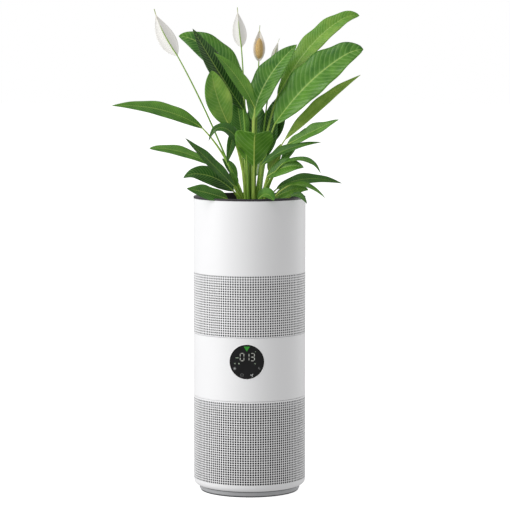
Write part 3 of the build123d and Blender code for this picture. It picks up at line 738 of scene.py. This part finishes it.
class PURIFIER_OT_upper_shell(bpy.types.Operator):
    """Model the outlet grille and the plain planter band above it"""
    bl_idname = "purifier.upper_shell"
    bl_label = "Upper shell"

    def execute(self, context):
        shell = context.scene.purifier_shell
        grille = perforated("outlet_grille", shell.outlet_low, shell.outlet_high, shell.outlet_rows,
                            shell.outlet_hole, shell)
        inner = SHELL_R - shell.wall
        hem = turned("outlet_hem", [
            (inner, UPPER_LOW.z), (SHELL_R, UPPER_LOW.z),
            (SHELL_R, shell.outlet_low), (inner, shell.outlet_low),
        ], [(1, 0.5 * MM)])
        wall = turned("planter_band", [
            (inner, shell.outlet_high), (SHELL_R, shell.outlet_high),
            (SHELL_R, UPPER_HIGH.z), (inner, UPPER_HIGH.z),
        ], [(2, 1.2 * MM), (3, 0.6 * MM)])
        coat_shell((grille, hem, wall), "upper_shell")
        return {"FINISHED"}


class PURIFIER_OT_shade_liners(bpy.types.Operator):
    """Line both grilles with a near-black sheet that paints the shade inside their holes, and a grey ring
    behind their top rows that paints a lighter shade there
    """
    bl_idname = "purifier.dust_meshes"
    bl_label = "Shade liners"

    def execute(self, context):
        shell, made = context.scene.purifier_shell, finishes()
        outer = SHELL_R - shell.grille_wall - 0.05 * MM
        inner = outer - 0.3 * MM
        bands = (("outlet", shell.outlet_low, shell.outlet_high, shell.outlet_rows),
                 ("intake", shell.intake_low, shell.intake_high, shell.intake_rows))
        for name, low, high, rows in bands:
            step = (high - low) / rows
            split = high - shell.light_rows * step
            # The liner is painted shade seen through the holes; the ring behind the top rows paints a
            # lighter shade
            cloth = turned(f"{name}_shade_liner",
                           [(inner, low), (outer, low), (outer, split), (inner, split)])
            ring = turned(f"{name}_lesser_shade_ring",
                          [(inner, split), (outer, split), (outer, high), (inner, high)])
            for piece, slot in ((cloth, "black_plastic"), (ring, "inner_plastic")):
                coat_with(piece, made["prefilter_mesh" if piece == cloth else slot])
                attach(piece, "housing")
        return {"FINISHED"}


# ---------------------------------------------------------------- display
def bar(x, z, length, width, turn=0.0):
    """A flat bar with rounded corners that faces the front, in mm from the window's centre."""
    deselect()
    bpy.ops.mesh.primitive_plane_add(size=1, location=(x * MM, 0, DISPLAY_Z + z * MM),
                                     rotation=(pi / 2, radians(turn), 0))
    obj = bpy.context.object
    obj.scale = (length * MM, width * MM, 1)
    bpy.ops.object.transform_apply(location=False, rotation=False, scale=True)
    bpy.ops.object.mode_set(mode="EDIT")
    bpy.ops.mesh.select_all(action="SELECT")
    bpy.ops.mesh.bevel(offset=0.42 * width * MM, segments=3, affect="VERTICES")
    bpy.ops.object.mode_set(mode="OBJECT")
    return obj


def disc(x, z, radius, corners=20, turn=0.0, squeeze=1.0):
    """A flat disc, or with three corners a triangle, that faces the front."""
    deselect()
    bpy.ops.mesh.primitive_circle_add(vertices=corners, radius=radius * MM, fill_type="TRIFAN",
                                      location=(x * MM, 0, DISPLAY_Z + z * MM),
                                      rotation=(pi / 2, radians(turn), 0))
    obj = bpy.context.object
    obj.scale = (squeeze, 1, 1)
    bpy.ops.object.transform_apply(location=False, rotation=False, scale=True)
    bpy.ops.object.mode_set(mode="EDIT")
    bpy.ops.mesh.select_all(action="SELECT")
    if corners == 3:
        bpy.ops.mesh.subdivide(number_cuts=3)
    bpy.ops.object.mode_set(mode="OBJECT")
    return obj


def hoop(x, z, radius, width):
    """A flat ring that faces the front."""
    outer, inner = disc(x, z, radius, 28), disc(x, z, radius - width, 28)
    for piece in (outer, inner):
        modify(piece, "SOLIDIFY", thickness=1 * MM if piece == inner else MARK_T, offset=0)
    modify(outer, "BOOLEAN", operation="DIFFERENCE", object=inner, solver="EXACT")
    bpy.data.objects.remove(inner)
    return outer


def on_window(objs, name, material, flat=True, radius=None, lift=0.05):
    """Joins marks, gives them thickness and lays them on the curved window."""
    piece = joined(objs, name)
    bpy.ops.object.transform_apply(location=True, rotation=True, scale=True)
    if flat:
        modify(piece, "SOLIDIFY", thickness=MARK_T, offset=0)
    face = (radius or -LENS_LOW.y) + lift * MM
    for vertex in piece.data.vertices:
        vertex.co.y -= math.sqrt(face ** 2 - vertex.co.x ** 2)
    settled(piece, name)
    coat_with(piece, material)
    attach(piece, "housing")
    return piece


SEGMENTS = {  # place from the digit's centre in mm, and turn
    "top": (0, 7.2, 0), "middle": (0, 0, 0), "low": (0, -7.2, 0),
    "upper_left": (-3.6, 3.7, 90), "lower_left": (-3.6, -3.7, 90),
    "upper_right": (3.6, 3.7, 90), "lower_right": (3.6, -3.7, 90),
}
RIGHT = ("upper_right", "lower_right")
DIGITS = {  # centre and lit segments
    -9.2: ("top", "low", "upper_left", "lower_left", *RIGHT),
    0.6: RIGHT,
    11.0: ("top", "middle", "low", *RIGHT),
}


class PURIFIER_OT_display(bpy.types.Operator):
    """Lay the lit digits, the level arrow and the touch marks on the round window"""
    bl_idname = "purifier.display"
    bl_label = "Display"

    def execute(self, context):
        digit_z, length, width = 9.6, 5.1, 1.55
        lit_bars = []
        for centre, names in DIGITS.items():
            for name in names:
                x, z, turn = SEGMENTS[name]
                lit_bars.append(bar(centre + x, digit_z + z, length, width, turn))
        on_window(lit_bars, "display_digits", lit("white LED segments", "D8DBD2", 0.62, "B0B3AA"))

        marks = [disc(16.6, 19.9, 0.95), disc(-23.1, -3.3, 2.1, 3, 160), disc(-15.2, -3.3, 1.5),
                 disc(15.9, -3.2, 2.1, 3, 170), bar(-18.9, 7.9, 6.4, 1.5)]
        on_window(marks, "display_status_marks", lit("pale green LED marks", "A9BCA4", 0.62, "7F917A"))

        # Touch marks: a lamp, a fan, a clock ring and a moon, each a plain generic sign
        fan = [disc(9.9 + 1.75 * sin(radians(a)), -25.6 + 1.75 * cos(radians(a)), 1.75, 14, a, 0.55)
               for a in (40, 160, 280)]
        on_window([disc(-23.7, -12.9, 1.9), *fan], "display_touch_marks",
                  lit("white touch signs", "C9CBCA", 0.6, "9A9C9B"))
        moon, bite = disc(24.6, -12.0, 2.6, 28), disc(26.0, -11.0, 2.3, 28)
        for piece, deep in ((moon, MARK_T), (bite, 1 * MM)):
            modify(piece, "SOLIDIFY", thickness=deep, offset=0)
        modify(moon, "BOOLEAN", operation="DIFFERENCE", object=bite, solver="EXACT")
        bpy.data.objects.remove(bite)
        stroke = bar(-9.4, -25.7, 3.2, 0.7)
        modify(stroke, "SOLIDIFY", thickness=MARK_T, offset=0)
        on_window([hoop(-9.4, -25.7, 3.4, 0.7), hoop(-23.7, -12.9, 3.2, 0.6), stroke, moon],
                  "display_dim_marks", lit("dim touch signs", "7E807F", 0.5, "5C5E5D"), flat=False)

        arrow = disc(0.0, 26.7, 6.6, 3, 180, 1.02)
        on_window([arrow], "display_level_arrow", lit("green LED arrow", "1F9A12", 0.8, "17800F"))

        deselect()
        bpy.ops.mesh.primitive_torus_add(major_radius=LENS_R + 0.75 * MM, minor_radius=0.65 * MM,
                                         major_segments=120, minor_segments=10,
                                         location=(0, 0, DISPLAY_Z), rotation=FRONT)
        # Polished white ABS ring that closes the gap round the window
        rim = on_window([bpy.context.object], "display_rim",
                        grained("polished white ABS", "F6F6F6", 0.8, 0.005, 0.2, tint=0.01),
                        flat=False, radius=SHELL_R, lift=-0.15)
        return {"FINISHED"}


# ---------------------------------------------------------------- plant
# Leaf: root (x, y), blade's base, middle and tip in mm, width, facing direction, tone from dark 0 to pale
# 1, which is partly the leaf's own green and partly painted light and shade set to how brightly each leaf
# is lit, then for some its form: bluntness 0 to 1, droop of its tip in mm, and waviness
LEAVES = {
    "right": [
        ((13, 4), (54, 38, 776), (128, 55, 884), (214, 70, 943), 44,
         (-0.4, -0.85, 0.35), 0.74, 0.7, 10, 1),
        ((16, 0), (50, -4, 722), (130, -6, 814), (222, -12, 875), 78,
         (-0.5, -0.85, 0.2), 0.52, 0.75, 8, 0.8),
        ((22, 4), (68, 22, 689), (140, 28, 762), (217, 34, 817), 25,
         (-0.3, -0.9, 0.3), 0.92, 0.15, 0, 1),
        ((22, -6), (74, -26, 682), (123, -36, 708), (175, -48, 732), 27,
         (0, -0.75, 0.6), 0.5, 0.3, 0, 2.6),
        ((20, -8), (24, -20, 640), (71, -34, 672), (142, -40, 688), 21,
         (0, -0.7, 0.7), 0.34, 0.1, 0, 1.4),
        ((20, -12), (66, -50, 646), (105, -70, 656), (141, -88, 638), 16,
         (0, -0.5, 0.8), 0.38, 0.3, 8, 1),
        ((27, -14), (35, -24, 619), (72, -50, 640), (108, -66, 640), 36,
         (0, -0.8, 0.5), 0.44, 0.3, 0, 1),
        ((30, 5), (52, 8, 593), (110, 20, 613), (181, 30, 604), 24, (0, -0.75, 0.6), 0.36, 0.2, 0, 1.4),
        ((36, -16), (76, -34, 602), (112, -46, 605), (149, -60, 581), 14,
         (0, -0.6, 0.8), 0.5, 0.2, 0, 1),
        ((32, -8), (48, -13, 577), (85, -20, 594), (116, -28, 594), 30,
         (0, -0.8, 0.5), 0.56, 0.3, 0, 1),
        ((25, -19), (80, -70, 582), (99, -86, 588), (115, -100, 572), 14,
         (0, -0.6, 0.7), 0.26, 0.3, 0, 1),
    ],
    "left": [
        ((3, 12), (-13, 34, 776), (-70, 48, 856), (-143, 62, 896), 60,
         (0.4, -0.85, 0.3), 0.4, 0.55, 3, 0.8),
        ((-2, 2), (-12, 6, 748), (-60, 4, 822), (-111, 0, 907), 47, (0.6, -0.8, 0.2), 0.1, 0.3, 0, 0.7),
        ((-12, -2), (-91, -8, 713), (-169, -22, 749), (-266, -38, 758), 31,
         (0, -0.9, 0.5), 0.5, 0.3, 0, 0.8),
        ((-10, 5), (-75, 14, 640), (-137, 22, 666), (-199, 30, 672), 22,
         (0, -0.8, 0.6), 0.46, 0.75, 0, 1.4),
        ((-8, -15), (-26, -50, 601), (-72, -72, 650), (-119, -90, 697), 27,
         (0.5, -0.7, 0.4), 0.22, 0.25, 0, 1),
        ((-15, -8), (-30, -22, 591), (-75, -34, 621), (-126, -48, 624), 40,
         (0, -0.9, 0.5), 0.22, 0.4, 6, 1),
        ((-16, -22), (-39, -62, 578), (-75, -84, 591), (-116, -100, 601), 30,
         (0, -0.85, 0.5), 0.34, 0.4, 0, 2.4),
    ],
    "centre": [
        ((7, 4), (6, 8, 728), (34, 12, 806), (92, 16, 876), 58, (-0.5, -0.85, 0.2), 0.42, 0.5, 0, 0.8),
        ((6, -5), (11, -12, 753), (-23, -16, 812), (-68, -20, 861), 32,
         (0.5, -0.85, 0.2), 0.58, 0.2, 0, 0.8),
        ((-2, -6), (-38, -42, 721), (-59, -56, 773), (-70, -62, 826), 52,
         (0.3, -0.9, 0.1), 0.66, 0.7, 0, 0.6),
        ((9, -15), (11, -36, 641), (13, -72, 692), (17, -106, 706), 76, (0, -0.3, 1), 0.54, 0.7, 0, 1),
        ((-1, -14), (-4, -44, 663), (-39, -66, 713), (-75, -78, 705), 24,
         (0, -0.8, 0.6), 0.25, 0.3, 14, 1),
        ((15, -20), (18, -46, 575), (35, -74, 589), (52, -112, 579), 27,
         (0, -0.9, 0.45), 0.46, 0.7, 0, 1),
    ],
}
# Small and hidden leaves that fill the plant's middle; their tones too are partly painted light and shade
FILLERS = {
    "right": [
        ((18, 18), (36, 40, 676), (50, 50, 730), (62, 56, 784), 46, (-0.3, -0.9, 0.3), 0.16),
        ((26, 14), (60, 40, 640), (84, 52, 676), (108, 60, 712), 24, (-0.4, -0.7, 0.5), 0.45),
        ((26, -4), (38, -14, 630), (50, -18, 655), (62, -22, 684), 22, (0, -1, 0.1), 0.8),
        ((14, 22), (24, 56, 650), (34, 80, 706), (44, 100, 744), 44, (-0.2, 0.6, 0.8), 0.34),
    ],
    "left": [
        ((-8, 18), (-22, 40, 700), (-34, 52, 752), (-46, 60, 806), 40, (0.3, -0.9, 0.2), 0.16),
        ((-10, 10), (-26, 22, 610), (-40, 30, 636), (-56, 34, 652), 20, (0.4, -0.8, 0.4), 0.3),
        ((-6, 22), (-12, 54, 664), (-18, 78, 712), (-26, 98, 746), 40, (0.2, 0.6, 0.8), 0.4),
        ((-14, -6), (-27, -14, 600), (-31, -18, 614), (-37, -22, 628), 20,
         (0, -1, 0.1), 0.5, 0.8, 0, 1),
    ],
    "centre": [
        ((4, 20), (8, 40, 670), (10, 50, 720), (12, 54, 768), 48, (0, -0.95, 0.2), 0.18),
        ((12, 12), (24, 30, 650), (36, 38, 706), (44, 42, 764), 42, (-0.2, -0.9, 0.2), 0.22),
        ((-4, 6), (-13, 10, 684), (-20, 14, 732), (-27, 18, 776), 36, (0.1, -1, 0.1), 0.42),
        ((6, 24), (9, 60, 616), (14, 84, 656), (18, 103, 682), 38, (0, 0.6, 0.8), 0.5),
        ((-6, -10), (-28, -28, 712), (-34, -34, 684), (-42, -38, 646), 18, (0.2, -0.9, 0.1), 0.2),
    ],
}
# Flower: root, hood's base, middle and tip, width, tone, whether its hollow side faces the front,
# and how far out its stalk's middle is
FLOWERS = [
    ((-6, -4), (-140, -14, 855), (-168, -18, 902), (-184, -22, 945), 35, 0.0, False, 0.5),
    ((-4, 15), (-17, 26, 871), (-22, 28, 912), (-25, 30, 949), 28, 0.0, False, 0.36),
    ((10, 13), (17, 34, 843), (17, 34, 880), (19, 34, 914), 24, 0.42, True, 0.36),
    ((17, 11), (45, 46, 836), (49, 48, 862), (57, 50, 888), 13, 0.3, False, 0.36),
]
LAYERS = ("tone", "veins", "across")


def bezier(a, b, c, t):
    """A point at t on the curve from a to c that passes through b at its middle, in metres."""
    a, b, c = Vector(a), Vector(b), Vector(c)
    pull = b * 2 - (a + c) * 0.5
    return (a * (1 - t) ** 2 + pull * (2 * t * (1 - t)) + c * t ** 2) * MM


def new_sheet():
    mesh = bmesh.new()
    for layer in LAYERS:
        mesh.verts.layers.float.new(layer)
    return mesh


def made_piece(mesh, name, material, thickness=0):
    """Turns a bmesh into a finished piece that rides on the pot."""
    data = bpy.data.meshes.new(name)
    mesh.to_mesh(data)
    mesh.free()
    obj = bpy.data.objects.new(name, data)
    bpy.context.scene.collection.objects.link(obj)
    if thickness:
        modify(obj, "SOLIDIFY", thickness=thickness, offset=0)
    activate(obj)
    bpy.ops.object.shade_smooth()
    coat_with(obj, material)
    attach(obj, "grow_pot")
    return obj


def add_tube(mesh, spots, radii, tones, sides=9):
    """A closed tapering tube through spots."""
    tone = mesh.verts.layers.float["tone"]
    rings = []
    for i, (at, radius, shade) in enumerate(zip(spots, radii, tones)):
        along = (spots[min(i + 1, len(spots) - 1)] - spots[max(i - 1, 0)]).normalized()
        side = along.cross(Vector((0, 1, 0.01))).normalized()
        up = side.cross(along)
        ring = [mesh.verts.new(at + (side * cos(2 * pi * k / sides)
                                     + up * sin(2 * pi * k / sides)) * radius)
                for k in range(sides)]
        for vertex in ring:
            vertex[tone] = shade
        rings.append(ring)
    for low, high in zip(rings, rings[1:]):
        for k in range(sides):
            mesh.faces.new((low[k - 1], high[k - 1], high[k], low[k]))
    mesh.faces.new(rings[0])
    mesh.faces.new(reversed(rings[-1]))


def leaf_outline(t, blunt):
    return max(sin(pi * t ** (0.78 + 0.24 * blunt)) ** (1 - 0.5 * blunt), 0.035 * (1 - t) + 0.008)


def hood_outline(t):
    return max(sin(pi * min(t / 0.86, 1) ** 0.72) ** 0.95, 0.045)


def add_blade(mesh, curve, width, face, tones, outline, fold, wave, phase, droop=0, sweep=1,
              rows=44, half=8):
    """A thin folded blade on a curve, with its shading values at each point."""
    tone, veins, across = (mesh.verts.layers.float[layer] for layer in LAYERS)
    spine = [bezier(*curve, i / rows) for i in range(rows + 1)]
    for i, at in enumerate(spine):
        at.z -= droop * MM * (max(0, i / rows - 0.8) / 0.2) ** 2
    length, run, grid = sum((b - a).length for a, b in zip(spine, spine[1:])), 0, []
    spacing = max(width * MM / 6.5, 3.2 * MM)
    for i, at in enumerate(spine):
        t = i / rows
        run += (at - spine[i - 1]).length if i else 0
        along = (spine[min(i + 1, rows)] - spine[max(i - 1, 0)]).normalized()
        up = Vector(face) - along * Vector(face).dot(along)
        up.normalize()
        up.rotate(Matrix.Rotation(0.22 * sin(phase) * (t - 0.3), 3, along))
        side = along.cross(up)
        reach = 0.5 * width * MM * outline(t)
        line = []
        for j in range(-half, half + 1):
            u = j / half
            out = abs(u)
            lift = fold * (out ** 1.25 - 0.5 * out ** 3)
            ripple = wave * out ** 2 * sin(2 * pi * (t * length / (55 * MM)) + phase
                                           + (1.7 if u > 0 else 0))
            vertex = mesh.verts.new(at + side * (u * reach * (1 + 0.3 * ripple))
                                    + up * (reach * (lift + ripple)))
            vertex[tone] = tones(t, u)
            back = sweep * 0.5 * width * MM * (0.55 * out + 0.5 * out ** 2) * outline(t)
            vertex[veins] = (run - back) / spacing
            vertex[across] = out
            line.append(vertex)
        grid.append(line)
    for low, high in zip(grid, grid[1:]):
        for j in range(2 * half):
            mesh.faces.new((low[j], low[j + 1], high[j + 1], high[j]))


def stalk_points(root, base, out=0.36, count=STALK_STEPS):
    """Points up a stalk, which rises before it leans out, as in the fixed frame."""
    start = (*root, SOIL_HIGH.z / MM - 4)
    knee = [r + (b - r) * k for r, b, k in zip(start, base, (out, out, 0.55))]
    return [bezier(start, knee, base, i / count) for i in range(count + 1)]


class PURIFIER_OT_leaves(bpy.types.Operator):
    """Grow the leaves and their stalks"""
    bl_idname = "purifier.leaves"
    bl_label = "Leaves"

    def execute(self, context):
        plant = context.scene.purifier_plant
        made, draw = finishes(), random.Random(plant.seed)
        for name, leaves in LEAVES.items():
            blades, stalks = new_sheet(), new_sheet()
            for root, base, middle, tip, width, face, tone, *form in leaves + FILLERS[name]:
                blunt, droop, wavy = form or (0.25, 0, 1)
                phase, drift = draw.uniform(0, 6.28), draw.uniform(-0.05, 0.05)
                # Each leaf's tone with a random drift, one half 0.07 paler than the other as painted
                # light on the two sides of its fold, and 0.06 darker towards the tip
                add_blade(blades, (base, middle, tip), width, face,
                          lambda t, u: tone + drift + 0.07 * u - 0.06 * t,
                          lambda t: leaf_outline(t, blunt), plant.fold, plant.wave * wavy, phase, droop)
                spots = stalk_points(root, base)
                thick = min(1.0, 0.62 + width / 110)
                radii = [thick * (4.7 - 3.2 * (i / STALK_STEPS) ** 0.7) * MM
                         for i in range(STALK_STEPS + 1)]
                ribs = [bezier(base, middle, tip, t) - Vector(face).normalized() * 0.7 * MM
                        for t in (0.12, 0.3, 0.5, 0.7)]
                # Each stalk takes its leaf's tone, so it carries the same painted light and shade, and
                # grows paler towards its blade
                shades = [0.3 + 0.45 * tone + 4 * drift + 0.3 * i / STALK_STEPS
                          for i in range(STALK_STEPS + 1)]
                add_tube(stalks, spots + ribs, radii + [thick * r * MM for r in (1.3, 1.0, 0.7, 0.35)],
                         shades + [shades[-1]] * 4)
            piece = made_piece(blades, f"leaf_blades_{name}", made["leaf_green"], 0.45 * MM)
            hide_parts(f"leaves_{name}")
            made_piece(stalks, f"leaf_stalks_{name}", made["stalk_green"])
        return {"FINISHED"}


class PURIFIER_OT_flowers(bpy.types.Operator):
    """Grow the white hoods, their spikes and stalks"""
    bl_idname = "purifier.flowers"
    bl_label = "Flowers"

    def execute(self, context):
        made = finishes()
        hoods, spikes, stalks = new_sheet(), new_sheet(), new_sheet()
        for number, (root, base, middle, tip, width, tone, open_front, out) in enumerate(FLOWERS):
            facing = Vector((0.15, -1, 0.15) if open_front else (-0.15, 1, 0.1)).normalized()

            def shade(t, u, tone=tone):
                return min(1.0, tone + max(0.0, (t - 0.72) / 0.2) * (0.95 - tone))

            add_blade(hoods, (base, middle, tip), width, facing, shade, hood_outline,
                      0.75 if open_front else 0.55, 0.03, number * 1.3, sweep=3.2)
            front = Vector((0, -1, 0)) * 0.9 * MM
            spots = stalk_points(root, base, out)
            radii = [(2.1 - 0.9 * i / STALK_STEPS) * MM for i in range(STALK_STEPS + 1)]
            up_back = (0.12, 0.3, 0.5, 0.62) if not open_front else ()
            spots += [bezier(base, middle, tip, t) + front for t in up_back]
            radii += [r * MM for r in (1.1, 0.85, 0.6, 0.35)][:len(up_back)]
            add_tube(stalks, spots, radii, [0.35 + 0.25 * i / 17 for i in range(len(spots))])
            thick = (0.31 if open_front else 0.11) * width
            shares = (0.06, 0.12, 0.2, 0.3, 0.4, 0.5, 0.57, 0.61)
            swell = (0.3, 0.75, 0.95, 1.0, 0.95, 0.72, 0.45, 0.15)
            add_tube(spikes, [bezier(base, middle, tip, t) + facing * (thick + 1.2) * MM for t in shares],
                     [thick * s * MM for s in swell], [0.95 if tone > 0.4 else 0.45] * 8, 14)
        for mesh, name, slot, deep in ((hoods, "flower_spathes", "spathe_white", 0.4 * MM),
                                       (spikes, "flower_spadices", "spadix_cream", 0),
                                       (stalks, "flower_stalks", "stalk_green", 0)):
            piece = made_piece(mesh, f"grown_{name}", made[slot], deep)
            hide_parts(name)
        return {"FINISHED"}


class PURIFIER_OT_soil(bpy.types.Operator):
    """Fill the pot with crumbly potting mix"""
    bl_idname = "purifier.soil"
    bl_label = "Potting mix"

    def execute(self, context):
        top, low, edge = SOIL_HIGH.z, SOIL_LOW.z, SOIL_HIGH.x
        steps = 30
        corners = [(0, low), (edge * 0.93, low), (edge - 0.4 * MM, top - 3 * MM)]
        corners += [((edge - 0.6 * MM) * (1 - i / steps), top - 2 * MM) for i in range(steps + 1)]
        piece = turned("grown_soil", corners, steps=120, angle=60)
        heap = piece.vertex_groups.new(name="surface")
        heap.add([v.index for v in piece.data.vertices if v.co.z > top - 2.5 * MM
                  and v.co.xy.length < edge - 3 * MM], 1.0, "REPLACE")
        lumps = bpy.data.textures.new("soil_lumps", "CLOUDS")
        lumps.noise_scale, lumps.noise_depth = 9 * MM, 3
        modify(piece, "DISPLACE", texture=lumps, texture_coords="LOCAL", direction="Z",
               strength=7 * MM, mid_level=0.45, vertex_group="surface")
        draw = random.Random(11)
        crumbs = bmesh.new()
        for _ in range(260):
            turn, away = draw.uniform(0, 2 * pi), edge * 0.94 * math.sqrt(draw.random())
            place = Matrix.Translation((away * cos(turn), away * sin(turn),
                                        top - draw.uniform(0, 2) * MM))
            shape = Matrix.Diagonal([draw.uniform(1.1, 3.0) * MM for _ in range(3)] + [1])
            spin = Matrix.Rotation(draw.uniform(0, pi), 4, (draw.random(), draw.random(), 1))
            bmesh.ops.create_icosphere(crumbs, subdivisions=1, radius=1, matrix=place @ spin @ shape)
        data = bpy.data.meshes.new("crumbs")
        crumbs.to_mesh(data)
        crumbs.free()
        loose = bpy.data.objects.new("crumbs", data)
        context.scene.collection.objects.link(loose)
        piece = joined([piece, loose], "soil_surface")
        coat_with(piece, finishes()["soil"])
        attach(piece, "grow_pot")
        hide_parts("soil")
        return {"FINISHED"}


class PURIFIER_OT_finishes(bpy.types.Operator):
    """Give every kept part of the fixed frame the finish of its slot"""
    bl_idname = "purifier.finishes"
    bl_label = "Finishes"

    def execute(self, context):
        made = finishes()
        for part in frame["record"]["subparts"]:
            coat_with(frame["nodes"][part["node"]], made[part["material_slot"]])
        return {"FINISHED"}


OPERATORS = [PURIFIER_OT_stage, PURIFIER_OT_finishes, PURIFIER_OT_lower_shell, PURIFIER_OT_upper_shell,
             PURIFIER_OT_shade_liners, PURIFIER_OT_display, PURIFIER_OT_soil, PURIFIER_OT_leaves,
             PURIFIER_OT_flowers]


class PURIFIER_PT_panel(bpy.types.Panel):
    """Lists the steps that build the purifier"""
    bl_idname = "PURIFIER_PT_panel"
    bl_label = "Planter-top purifier"
    bl_space_type = "VIEW_3D"
    bl_region_type = "UI"
    bl_category = "Purifier"

    def draw(self, context):
        for operator in OPERATORS:
            self.layout.operator(operator.bl_idname)


SETTINGS = {"purifier_shell": ShellSettings, "purifier_stage": StageSettings,
            "purifier_plant": PlantSettings}


def register():
    for kind in (*SETTINGS.values(), *OPERATORS, PURIFIER_PT_panel):
        bpy.utils.register_class(kind)
    for name, kind in SETTINGS.items():
        setattr(bpy.types.Scene, name, PointerProperty(type=kind))


def unregister():
    for name in SETTINGS:
        delattr(bpy.types.Scene, name)
    for kind in reversed((*SETTINGS.values(), *OPERATORS, PURIFIER_PT_panel)):
        bpy.utils.unregister_class(kind)


def main():
    register()
    for operator in OPERATORS:
        section, name = operator.bl_idname.split(".")
        getattr(getattr(bpy.ops, section), name)()


if __name__ == "__main__":
    main()
